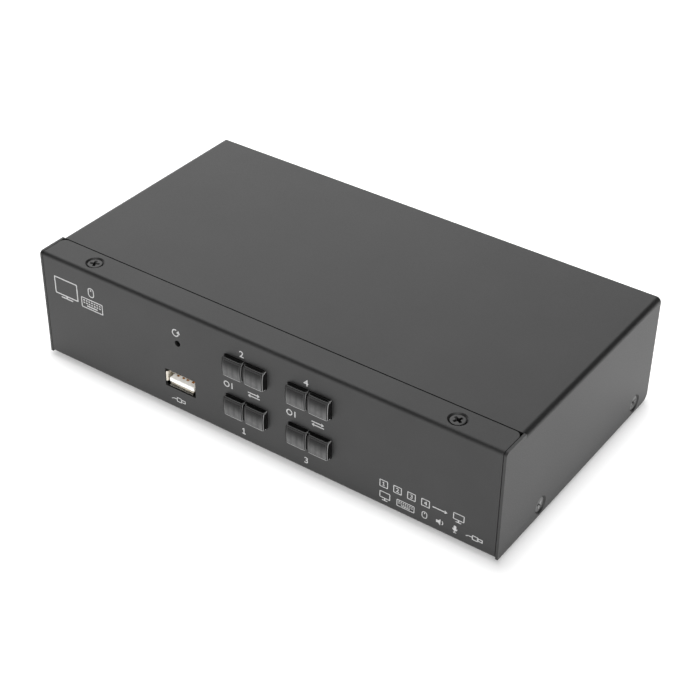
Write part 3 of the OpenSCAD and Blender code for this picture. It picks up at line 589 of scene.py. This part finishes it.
def make_front_usb():
    """Front socket: shell with flared lips, white tongue and contacts."""
    low, high = box_mm("front_usb_shell")
    width, height, depth = high.x - low.x, high.z - low.z, high.y - low.y
    origin = ((low.x + high.x) / 2, low.y, (low.z + high.z) / 2)
    wall = 0.3
    back = rect(width, height, 0.7)
    inner = rect(width - 2 * wall, height - 2 * wall, 0.45)
    shell = loft([plan_ring(back, depth), plan_ring(back, 1.3),
                  plan_ring(inner, 1.3), plan_ring(inner, depth - wall)])
    piece("front_usb_can", [shell] + flaps(width, height, wall), "socket_metal",
          replaces=["front_usb_shell"], origin=origin, edge=0.05)
    plug = rect(width - 0.75, height - 0.75, 0.4)
    filling = loft([plan_ring(plug, y) for y in (TONGUE_ROOT, depth - wall - 0.06)])
    piece("front_usb_tongue", [filling, usb_tongue(TONGUE_ROOT + 0.2)], "insert_white",
          replaces=["front_usb_insert"], origin=origin, edge=0.06)
    piece("front_usb_strips", usb_contacts(1), "contact_gold",
          replaces=["front_usb_contacts"], origin=origin, edge=0.03)


STACK_LEVEL = 3.9      # each socket of the stacked pair, above and below the can's middle
STACK_WINDOW = (12.5, 5.1)    # width and height of its window
FACE_BACK = Matrix.Rotation(math.pi, 4, "Z")    # turns a shape's front to the rear


def make_console_usb():
    """Stacked pair of type A sockets: can with two flared windows."""
    low, high = box_mm("console_usb_shell")
    width, height, depth = high.x - low.x, high.z - low.z, high.y - low.y
    place = Matrix.Translation(((low.x + high.x) / 2, high.y, (low.z + high.z) / 2)) @ FACE_BACK
    wall, level, window = 0.35, STACK_LEVEL, STACK_WINDOW
    outer, inner = rect(width, height, 0.6), rect(width - 2 * wall, height - 2 * wall, 0.3)
    shapes = [loft([plan_ring(outer, depth), plan_ring(outer, 0.5),
                    plan_ring(inner, 0.5), plan_ring(inner, depth - wall)])]
    x, z = width / 2 - 0.1, height / 2 - 0.1
    side, rim = window[0] / 2, window[1] / 2
    for x0, z0, x1, z1 in ((-x, level + rim, x, z), (-x, -z, x, -level - rim),
                           (-x, -level + rim, x, level - rim), (-x, -z, -side, z), (side, -z, x, z)):
        shapes.append(brick((x0, 0.45, z0), (x1, 0.8, z1)))
    for middle in (-level, level):
        lips = flaps(window[0] + 0.3, window[1] + 0.3, 0.3)
        shapes += [shifted(lip, z=middle, y=0.14) for lip in lips]
    piece("console_usb_can", [moved(s, place) for s in shapes], "socket_metal",
          replaces=["console_usb_shell"], edge=0.05)
    strips = []
    for middle in (-level, level):
        strips += [shifted(s, z=middle) for s in usb_contacts(-1)]
    piece("console_usb_strips", [moved(s, place) for s in strips], "contact_gold",
          replaces=["console_usb_contacts"], edge=0.03)


# ---------- other rear sockets ----------

HDMI_PINS = 19         # in two rows, every other one in the upper row
HDMI_PITCH = 0.5
HDMI_ROWS = ((0.78, 0.86), (-0.46, -0.38))    # heights from and to, upper row and lower row


def hdmi_corners(grow):
    """Corners of an HDMI socket's outline, grown outwards."""
    return [(-4.9 - 0.5 * grow, -2.275 - grow), (4.9 + 0.5 * grow, -2.275 - grow),
            (7 + grow, -0.7 - 0.3 * grow), (7 + grow, 2.275 + grow),
            (-7 - grow, 2.275 + grow), (-7 - grow, -0.7 - 0.3 * grow)]


def make_hdmi():
    """Five HDMI sockets: shell with a rolled mouth, spring fingers and contact rows."""
    nodes = [f"hdmi_shell_{n}" for n in range(1, 5)] + ["hdmi_out_shell"]
    contacts = []
    for node in nodes:
        low, high = box_mm(node)
        depth = high.y - low.y
        middle = ((low.x + high.x) / 2, high.y, (low.z + high.z) / 2)
        place = Matrix.Translation(middle) @ FACE_BACK
        wall = 0.35
        outer, roll, lip, inner = (filleted(hdmi_corners(grow), radius) for grow, radius in
                                   ((wall, 0.8), (0.25, 0.75), (0.12, 0.65), (0.0, 0.5)))
        shell = loft([plan_ring(outer, depth), plan_ring(outer, 0.14), plan_ring(roll, 0.02),
                      plan_ring(lip, 0.0), plan_ring(inner, 0.2), plan_ring(inner, depth - wall)])
        fingers = []
        for x in (-3.4, 3.4):
            section = [(0.9, 2.35), (1.6, 2.12), (2.6, 1.86), (3.4, 1.86), (4.6, 2.35)]
            fingers.append(prism(section, x - 1.0, x + 1.0, "x"))
        for side in (-1, 1):
            bent = ((7.08, 0.9), (6.85, 1.6), (6.62, 2.6), (6.62, 3.2), (7.08, 4.4))
            fingers.append(prism([(side * x, y) for x, y in bent], 0.1, 1.5, "z"))
        piece(node.replace("_shell", "_can"), [moved(s, place) for s in [shell] + fingers], "socket_metal",
              replaces=[node], edge=0.04)
        for pin in range(HDMI_PINS):
            x = (pin - HDMI_PINS // 2) * HDMI_PITCH
            z0, z1 = HDMI_ROWS[pin % 2]
            contacts.append(moved(brick((x - 0.14, 1.3, z0), (x + 0.14, 7.5, z1)), place))
    piece("hdmi_contact_rows", contacts, "contact_gold")


def six_corners(width, height, cut_off):
    """Corners of a rectangle with its two top corners cut off."""
    x, z = width / 2, height / 2
    return [(-x, -z), (x, -z), (x, z - cut_off), (x - cut_off, z), (-x + cut_off, z), (-x, z - cut_off)]


def make_usb_b():
    """Four type B sockets: can with a folded front and a window."""
    for number in range(1, 5):
        node = f"usb_b_shell_{number}"
        low, high = box_mm(node)
        width, height, depth = high.x - low.x, high.z - low.z, high.y - low.y
        place = Matrix.Translation(((low.x + high.x) / 2, high.y, (low.z + high.z) / 2)) @ FACE_BACK
        outer = filleted(six_corners(width, height, 2.2), 0.5)
        front = filleted(six_corners(width - 0.5, height - 0.5, 2.1), 0.45)
        edge = filleted(six_corners(8.75, 8.08, 1.8), 0.4)
        window = filleted(six_corners(8.5, 7.83, 1.72), 0.35)
        inner = filleted(six_corners(width - 0.7, height - 0.7, 2.0), 0.4)
        shapes = [loft([plan_ring(outer, depth), plan_ring(outer, 0.25),
                        plan_ring(front, 0.0), plan_ring(edge, 0.0),
                        plan_ring(window, 0.15), plan_ring(window, 0.36),
                        plan_ring(inner, 0.37), plan_ring(inner, depth - 0.35)])]
        for side in (-1, 1):
            bent = ((-0.1, 3.0), (0.25, 4.2), (0.25, 5.6), (-0.1, 7.0))
            shapes.append(prism([(side * (width / 2 + out), y) for out, y in bent], -1.5, 1.5, "z"))
        piece(f"usb_b_can_{number}", [moved(s, place) for s in shapes], "socket_metal", replaces=[node])


JACK_BARREL = 3.0      # radius of an audio jack's barrel, of its bore, and how deep that goes
JACK_BORE = 1.8
JACK_REACH = 14.0
FOOT_RADIUS = 6.0


def make_audio():
    """Two audio jacks: moulded body and a barrel with a stepped, chamfered mouth."""
    for node, slot in (("speaker_jack", "jack_green"), ("microphone_jack", "jack_pink")):
        low, high = box_mm(node)
        middle_x, middle_z = (low.x + high.x) / 2, (low.z + high.z) / 2
        barrel, bore = JACK_BARREL, JACK_BORE
        body_front = box_mm("chassis_tray")[1].y - 1.1
        profile = [(barrel, body_front - 1.0), (barrel, high.y - 0.35), (barrel - 0.25, high.y - 0.06),
                   (barrel - 0.5, high.y), (bore + 0.75, high.y), (bore + 0.6, high.y - 0.18),
                   (bore + 0.2, high.y - 0.5), (bore, high.y - 0.8), (bore, high.y - JACK_REACH)]
        tip = Matrix.Translation((middle_x, 0, middle_z)) @ Matrix.Rotation(-math.pi / 2, 4, "X")
        block = brick((low.x, low.y, low.z), (high.x, body_front, high.z))
        piece(node + "_barrel", [moved(revolved(profile), tip), block], slot, replaces=[node], edge=0.12)


def make_feet():
    """Four stick-on rubber feet with rounded rims and a shallow dish underneath."""
    low, high = box_mm("rubber_feet")
    radius = FOOT_RADIUS
    profile = [(radius, high.z), (radius, 0.55), (radius - 0.12, 0.3), (radius - 0.38, 0.1),
               (radius - 0.75, 0.0), (radius - 1.5, 0.0), (radius - 1.9, 0.12), (0.4, 0.16)]
    shapes = [shifted(revolved(profile), x, y)
              for x in (low.x + radius, high.x - radius) for y in (low.y + radius, high.y - radius)]
    piece("foot_pads", shapes, "foot_rubber", replaces=["rubber_feet"])


# ---------- prints ----------

INK = 0.03             # how far a print stands off the sheet, and how far it reaches into it


def stroke(x0, z0, x1, z1, line):
    """Straight stroke between two points."""
    along = Vector((x1 - x0, z1 - z0)).normalized()
    side = Vector((-along.y, along.x)) * line / 2
    start, end = Vector((x0, z0)), Vector((x1, z1))
    return [tuple(start + side), tuple(start - side), tuple(end - side), tuple(end + side)]


def inked(outline):
    """Outline in X and Z as a thin layer of ink on a panel at Y = 0."""
    return prism(outline, -INK, INK)


def hoop(outer, inner):
    """Ink between two outlines with the same number of points."""
    return tube([plan_ring(outer, -INK), plan_ring(outer, INK),
                 plan_ring(inner, INK), plan_ring(inner, -INK)])


def frame_icon(x, z, width, height, line, radius=0.4):
    """Outline of a round-cornered box."""
    hole = rect(width - 2 * line, height - 2 * line, max(radius - line, 0.08), 3)
    outer = [(p[0] + x, p[1] + z) for p in rect(width, height, radius, 3)]
    inner = [(p[0] + x, p[1] + z) for p in hole]
    return hoop(outer, inner)


def ring_icon(x, z, radius, line, start=0.0, end=360.0, steps=32):
    """Ring, or part of one between two angles in degrees."""
    whole = end - start >= 360
    turns = [math.radians(start + (end - start) * i / steps) for i in range(steps + (0 if whole else 1))]
    within = radius - line
    outer = [(x + radius * math.cos(t), z + radius * math.sin(t)) for t in turns]
    inner = [(x + within * math.cos(t), z + within * math.sin(t)) for t in turns]
    if whole:
        return hoop(outer, inner)
    return inked(outer + inner[::-1])


def box_icon(x, z, width, height):
    """Filled box."""
    return inked([(x - width / 2, z - height / 2), (x + width / 2, z - height / 2),
                  (x + width / 2, z + height / 2), (x - width / 2, z + height / 2)])


# Outline of the figure one, for a height of 1.
ONE = [(-0.28, -0.5), (0.28, -0.5), (0.28, -0.36), (0.08, -0.36), (0.08, 0.5), (-0.06, 0.5),
       (-0.28, 0.33), (-0.28, 0.17), (-0.09, 0.29), (-0.09, -0.36), (-0.28, -0.36)]


DIGIT_STRETCH = 1.12    # how much wider than the font's the other figures are


def digit(number, x, z, height, weight=0.11):
    """Digit as ink, centred on a point: a figure one with a foot, the others from Blender's own font."""
    if number == 1:
        return inked([(x + p[0] * height, z + p[1] * height) for p in ONE])
    text = bpy.data.curves.new("digit", "FONT")
    text.body = str(number)
    text.size = 10.0
    text.offset = weight
    text.extrude = 1.0
    text.resolution_u = 4
    holder = bpy.data.objects.new("digit", text)
    bpy.context.scene.collection.objects.link(holder)
    ready = holder.evaluated_get(bpy.context.evaluated_depsgraph_get())
    mesh = bpy.data.meshes.new_from_object(ready)
    corners = [v.co for v in mesh.vertices]
    low = Vector((min(c.x for c in corners), min(c.y for c in corners)))
    high = Vector((max(c.x for c in corners), max(c.y for c in corners)))
    grow = height / (high.y - low.y)
    middle = (low + high) / 2
    verts = [(x + (c.x - middle.x) * grow * DIGIT_STRETCH, -INK if c.z > 0 else INK,
              z + (c.y - middle.y) * grow) for c in corners]
    faces = [tuple(p.vertices) for p in mesh.polygons]
    bpy.data.objects.remove(holder)
    bpy.data.curves.remove(text)
    bpy.data.meshes.remove(mesh)
    return verts, faces


def screen_icon(x, z, width, height, line):
    """Monitor on a stand."""
    return [frame_icon(x, z, width, height, line), box_icon(x, z - height / 2 - 0.35, line * 1.6, 0.7),
            box_icon(x, z - height / 2 - 0.85, width * 0.5, line)]


def keyboard_icon(x, z, width, height, line, rows, columns):
    """Keyboard with rows of keys and a space bar."""
    shapes = [frame_icon(x, z, width, height, line)]
    pitch_x, pitch_z = (width - 2 * line) / (columns + 0.6), (height - 2 * line) / (rows + 0.5)
    for row in range(rows):
        level = z + (rows - 1 - 2 * row) / 2 * pitch_z
        if row == rows - 1:
            shapes.append(box_icon(x, level, pitch_x * (columns - 3), pitch_z * 0.5))
            continue
        for column in range(columns):
            at = x + (2 * column + 1 - columns) / 2 * pitch_x
            shapes.append(box_icon(at, level, pitch_x * 0.6, pitch_z * 0.5))
    return shapes


def mouse_icon(x, z, width, height, line):
    """Mouse with its wheel."""
    return [frame_icon(x, z, width, height, line, width * 0.45),
            inked(stroke(x, z + height * 0.12, x, z + height * 0.34, line))]


def speaker_icon(x, z, size, line):
    """Loudspeaker cone with one wave."""
    cone = [(x - size * 0.5, z - size * 0.2), (x - size * 0.2, z - size * 0.2),
            (x + size * 0.12, z - size * 0.48), (x + size * 0.12, z + size * 0.48),
            (x - size * 0.2, z + size * 0.2), (x - size * 0.5, z + size * 0.2)]
    return [inked(cone), ring_icon(x + size * 0.1, z, size * 0.42, line, -50, 50, 10)]


def microphone_icon(x, z, size, line):
    """Microphone on a stand."""
    pill = rect(size * 0.36, size * 0.66, size * 0.17, 4)
    capsule = [(x + p[0], z + size * 0.18 + p[1]) for p in pill]
    return [inked(capsule), ring_icon(x, z + size * 0.08, size * 0.34, line, 180, 360, 10),
            box_icon(x, z - size * 0.38, line, size * 0.24), box_icon(x, z - size * 0.5, size * 0.42, line)]


def arrow_icon(x0, x1, z, line):
    """Level arrow from x0 to x1."""
    way = 1 if x1 > x0 else -1
    head = line * 2.2
    back = x1 - way * head * 1.15
    return [inked(stroke(x0, z, x1 - way * head, z, line)),
            inked([(x1, z), (back, z + head * 0.8), (back, z - head * 0.8)])]


def reset_icon(x, z, radius, line):
    """Ring with a gap that ends in an arrow head."""
    end = math.radians(380)
    centre_line = radius - line / 2
    tip_x, tip_z = x + centre_line * math.cos(end), z + centre_line * math.sin(end)
    head = line * 1.9
    return [ring_icon(x, z, radius, line, 70, 365, 24),
            inked([(tip_x - head, tip_z - head * 0.35), (tip_x + head, tip_z - head * 0.75),
                   (tip_x + head * 0.2, tip_z + head)])]


def plug_icon(x, z, line):
    """Plain plug on a short cable."""
    return [inked(stroke(x - 3.3, z - 0.5, x - 2.3, z, line)), inked(stroke(x - 2.4, z, x - 0.9, z, line)),
            frame_icon(x + 0.2, z, 2.3, 2.0, line, 0.3), frame_icon(x + 2.2, z, 1.9, 1.35, line, 0.1)]


# The front prints' places are read from the photograph, in millimetres across from the case's left side
# or a piece's middle, and up from the sheet's lower edge.
BOLD = 0.42            # stroke of the larger marks
FINE = 0.34            # stroke of the small ones
NUMBER_ASIDE = -1.5    # port numbers, from their button's middle
NUMBER_OVER = 38.3     # their height, over buttons 2 and 4 and under buttons 1 and 3
NUMBER_UNDER = 4.5
MARKS_UP = 22.5        # marks between two buttons
ROWS_LEFT = 54.6       # two rows of small marks, across from the case's middle line
ROWS_UP = (10.1, 4.8)
ROW_STEP = 5.6         # between their numbered boxes


def print_piece(name, shapes, y=0.0):
    """One print on the panel at this Y."""
    piece(name, shapes, "insert_white", origin=(0, y, 0), smooth=30, material=INK_WHITE)


def make_prints():
    """White numbers and plain pictograms on the front and rear panels."""
    tray_low, tray_high = box_mm("chassis_tray")
    front, rear, foot = tray_low.y, tray_high.y, tray_low.z
    caps = {n: box_mm(f"button_cap_{n}") for n in range(1, 5)}
    middle_x = {n: (low.x + high.x) / 2 for n, (low, high) in caps.items()}

    numbers = [digit(n, middle_x[n] + NUMBER_ASIDE, foot + (NUMBER_UNDER if n % 2 else NUMBER_OVER), 2.6)
               for n in range(1, 5)]
    print_piece("print_port_numbers", numbers, front)

    marks = []
    for n in (2, 4):
        left, right, level = middle_x[n] - 7.85, middle_x[n] + 3.45, foot + MARKS_UP
        marks += [ring_icon(left - 0.8, level, 1.3, BOLD), box_icon(left + 1.6, level, 0.46, 2.5)]
        marks += arrow_icon(right - 2.6, right + 2.6, level + 0.62, BOLD)
        marks += arrow_icon(right + 2.6, right - 2.6, level - 0.62, BOLD)
    print_piece("print_button_marks", marks, front)

    reset_x = sum(c.x for c in box_mm("reset_plunger")) / 2
    usb_x = sum(c.x for c in box_mm("front_usb_shell")) / 2
    small = reset_icon(reset_x - 0.7, foot + 34.9, 1.6, 0.46) + plug_icon(usb_x - 1.2, foot + 4.8, 0.32)
    print_piece("print_reset_and_plug", small, front)

    left = tray_low.x
    devices = screen_icon(left + 10.6, foot + 33.0, 11.5, 7.6, 0.5)
    devices += keyboard_icon(left + 23.2, foot + 30.4, 10.6, 4.6, BOLD, 3, 7)
    devices += mouse_icon(left + 23.2, foot + 36.0, 3.0, 4.2, BOLD)
    print_piece("print_device_marks", devices, front)

    row = []
    start, high_line, low_line = ROWS_LEFT, foot + ROWS_UP[0], foot + ROWS_UP[1]
    for n in range(1, 5):
        at = start + (n - 1) * ROW_STEP
        row += [frame_icon(at, high_line, 3.4, 3.2, 0.32, 0.3), digit(n, at, high_line, 1.7, 0.08)]
    row += arrow_icon(start + 19.6, start + 25.4, high_line, BOLD)
    row += screen_icon(start + 29.8, high_line + 0.45, 4.4, 2.9, FINE)
    row += screen_icon(start + 0.6, low_line + 0.45, 4.4, 2.9, FINE)
    row += keyboard_icon(start + 9.0, low_line, 7.2, 3.0, 0.3, 3, 7)
    row += mouse_icon(start + 16.6, low_line, 2.2, 3.0, 0.3)
    row += speaker_icon(start + 22.6, low_line, 2.8, FINE)
    row += microphone_icon(start + 28.6, low_line, 3.0, FINE)
    row += plug_icon(start + 36.2, low_line, FINE)
    print_piece("print_setup_rows", row, front)

    # The photograph doesn't show the back, so these marks and their places are made up.
    back = []
    for n in range(1, 5):
        low, high = box_mm(f"usb_b_shell_{n}")
        back.append(digit(n, -(low.x + high.x) / 2, high.z + 2.6, 2.4))
    screens = box_mm("hdmi_out_shell")
    back += screen_icon(-(screens[0].x + screens[1].x) / 2, screens[1].z + 3.4, 4.6, 3.0, FINE)
    console = box_mm("console_usb_shell")
    console_x = -(console[0].x + console[1].x) / 2
    back += keyboard_icon(console_x + 2.6, console[1].z + 2.6, 6.4, 2.8, 0.3, 3, 6)
    back += mouse_icon(console_x - 3.6, console[1].z + 2.6, 2.1, 2.9, 0.3)
    for node, make in (("speaker_jack", speaker_icon), ("microphone_jack", microphone_icon)):
        low, high = box_mm(node)
        back += make(-(low.x + high.x) / 2, high.z + 2.2, 2.8, FINE)
    supply = box_mm("power_jack")
    supply_x, level = -(supply[0].x + supply[1].x) / 2, supply[1].z + 2.4
    back.append(box_icon(supply_x, level + 0.45, 3.6, 0.36))
    back += [box_icon(supply_x + step, level - 0.45, 0.9, 0.36) for step in (-1.35, 0, 1.35)]
    turned = [moved(shape, Matrix.Translation((0, rear, 0)) @ FACE_BACK) for shape in back]
    print_piece("print_rear_marks", turned)


# ---------- stage ----------

# The view worked out from the corners in the photograph, in degrees, metres and millimetres of lens.
CAMERA_AZIMUTH = 34.66
CAMERA_ELEVATION = 35.81
CAMERA_ROLL = 0.87
CAMERA_DISTANCE = 0.58049
CAMERA_AIM = (CAD_LOW + CAD_HIGH) / 2 + Vector((0.01036, -0.01124, 0.0001))
CAMERA_LENS = 82.11


def make_camera():
    """Camera at the front right, above the case, aimed a little beside its middle."""
    data = bpy.data.cameras.new("camera")
    data.lens = CAMERA_LENS
    data.sensor_width = 36.0
    data.clip_start = 0.01
    made = bpy.data.objects.new("camera", data)
    bpy.context.scene.collection.objects.link(made)
    azimuth, elevation = math.radians(CAMERA_AZIMUTH), math.radians(CAMERA_ELEVATION)
    back = Vector((math.sin(azimuth) * math.cos(elevation),
                   -math.cos(azimuth) * math.cos(elevation),
                   math.sin(elevation)))
    turn = back.to_track_quat("Z", "Y").to_matrix() @ Matrix.Rotation(math.radians(CAMERA_ROLL), 3, "Z")
    made.matrix_world = Matrix.Translation(CAMERA_AIM + CAMERA_DISTANCE * back) @ turn.to_4x4()
    bpy.context.scene.camera = made


FLOOR_GLOW = 0.7       # the floor's own light, away from the case
FLOOR_NEAR = 0.19      # the same right beside the case, lower there as a painted contact shadow
FLOOR_FADE = 9.0       # how far from the case it takes to rise, in millimetres
FLOOR_RISE = 0.6       # how steeply it rises
FLOOR_LEVEL = -2e-5    # just clear of the feet, in metres
FLOOR_REACH = 4.0      # half its width, in metres


def make_floor():
    """Plain white floor that glows a little from within; the glow drops near the case as a painted contact
    shadow.
    """
    mesh = bpy.data.meshes.new("floor")
    reach = FLOOR_REACH
    corners = [(-reach, -reach), (reach, -reach), (reach, reach), (-reach, reach)]
    mesh.from_pydata([(x, y, FLOOR_LEVEL) for x, y in corners], [], [(0, 1, 2, 3)])
    made, tree, shader = start_material("floor_white", Roughness=0.9, Specular_IOR_Level=0.1)
    shader.inputs["Base Color"].default_value = (0.8, 0.8, 0.8, 1)
    shader.inputs["Emission Color"].default_value = (1, 1, 1, 1)
    where = add(tree, "ShaderNodeTexCoord", (-1500, -200))
    apart = add(tree, "ShaderNodeSeparateXYZ", (-1300, -200))
    tree.links.new(where.outputs["Object"], apart.inputs["Vector"])
    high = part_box("top_cover")[1]
    # Painted contact shadow: the glow falls off towards the case's footprint.
    gaps = []
    for axis, half in (("X", high.x), ("Y", high.y)):
        distance = reckon(tree, "ABSOLUTE", apart.outputs[axis])
        beyond = reckon(tree, "MAXIMUM", reckon(tree, "SUBTRACT", distance, half), 0)
        gaps.append(reckon(tree, "MULTIPLY", beyond, beyond))
    away = reckon(tree, "DIVIDE", reckon(tree, "SQRT", reckon(tree, "ADD", *gaps)), FLOOR_FADE * MM)
    share = reckon(tree, "MINIMUM", reckon(tree, "POWER", away, FLOOR_RISE), 1)
    lightness_with_painted_shade = reckon(tree, "MULTIPLY_ADD", share, FLOOR_GLOW - FLOOR_NEAR, FLOOR_NEAR)
    tree.links.new(lightness_with_painted_shade, shader.inputs["Emission Strength"])
    mesh.materials.append(made)
    floor = bpy.data.objects.new("floor", mesh)
    bpy.context.scene.collection.objects.link(floor)


def toward(tree, direction, start, full):
    """Weight of the sky near a direction: 0 at the start cosine, 1 at the full cosine."""
    where = add(tree, "ShaderNodeTexCoord")
    dot = add(tree, "ShaderNodeVectorMath", operation="DOT_PRODUCT")
    dot.inputs[1].default_value = Vector(direction).normalized()
    tree.links.new(where.outputs["Generated"], dot.inputs[0])
    spread = add(tree, "ShaderNodeMapRange", interpolation_type="SMOOTHSTEP")
    spread.inputs["From Min"].default_value = start
    spread.inputs["From Max"].default_value = full
    tree.links.new(dot.outputs["Value"], spread.inputs["Value"])
    return spread.outputs["Result"]


# Each patch of sky: direction, cosines where it starts and is full.
BANK_AT = ((-0.458, 0.666, 0.588), 0.3, 0.95)
UNLIT_AT = ((0.588, 0.666, 0.458), 0.5, 0.86)
FLAG_AT = ((-0.458, -0.588, 0.666), 0.68, 0.92)
KEY_AT = ((0.55, -0.75, 0.37), 0.86, 0.96)
SKY_GREY = 1.05        # strength of the open sky
SKY_BANK = 1.62        # of the wide bank that the top mirrors
SKY_UNLIT = 0.03       # of the dark patch at the back right
SKY_FLAG = 0.05        # of the dark patch that the front panel mirrors
SKY_KEY = 4.0          # of the key at the front right


def make_light():
    """Soft studio sky: bright at the back left, two dark patches, and a key at the front right."""
    world = bpy.data.worlds.new("studio")
    world.use_nodes = True
    tree = world.node_tree
    bank, unlit, front, key = (toward(tree, *patch) for patch in (BANK_AT, UNLIT_AT, FLAG_AT, KEY_AT))
    lit = add(tree, "ShaderNodeMapRange")
    lit.inputs["To Min"].default_value = SKY_GREY
    lit.inputs["To Max"].default_value = SKY_BANK
    tree.links.new(bank, lit.inputs["Value"])
    shaded = add(tree, "ShaderNodeMix", data_type="FLOAT")
    tree.links.new(unlit, shaded.inputs["Factor"])
    tree.links.new(lit.outputs["Result"], shaded.inputs["A"])
    shaded.inputs["B"].default_value = SKY_UNLIT
    flagged = add(tree, "ShaderNodeMix", data_type="FLOAT")
    tree.links.new(front, flagged.inputs["Factor"])
    tree.links.new(shaded.outputs["Result"], flagged.inputs["A"])
    flagged.inputs["B"].default_value = SKY_FLAG
    keyed = add(tree, "ShaderNodeMix", data_type="FLOAT")
    tree.links.new(key, keyed.inputs["Factor"])
    tree.links.new(flagged.outputs["Result"], keyed.inputs["A"])
    keyed.inputs["B"].default_value = SKY_KEY
    tree.links.new(keyed.outputs["Result"], tree.nodes["Background"].inputs["Strength"])
    tree.nodes["Background"].inputs["Color"].default_value = (1, 1, 1, 1)
    bpy.context.scene.world = world


make_camera()
make_floor()
make_light()
make_buttons()
make_screws()
make_front_usb()
make_console_usb()
make_hdmi()
make_usb_b()
make_audio()
make_feet()
make_prints()

bpy.context.scene.view_settings.view_transform = "Standard"
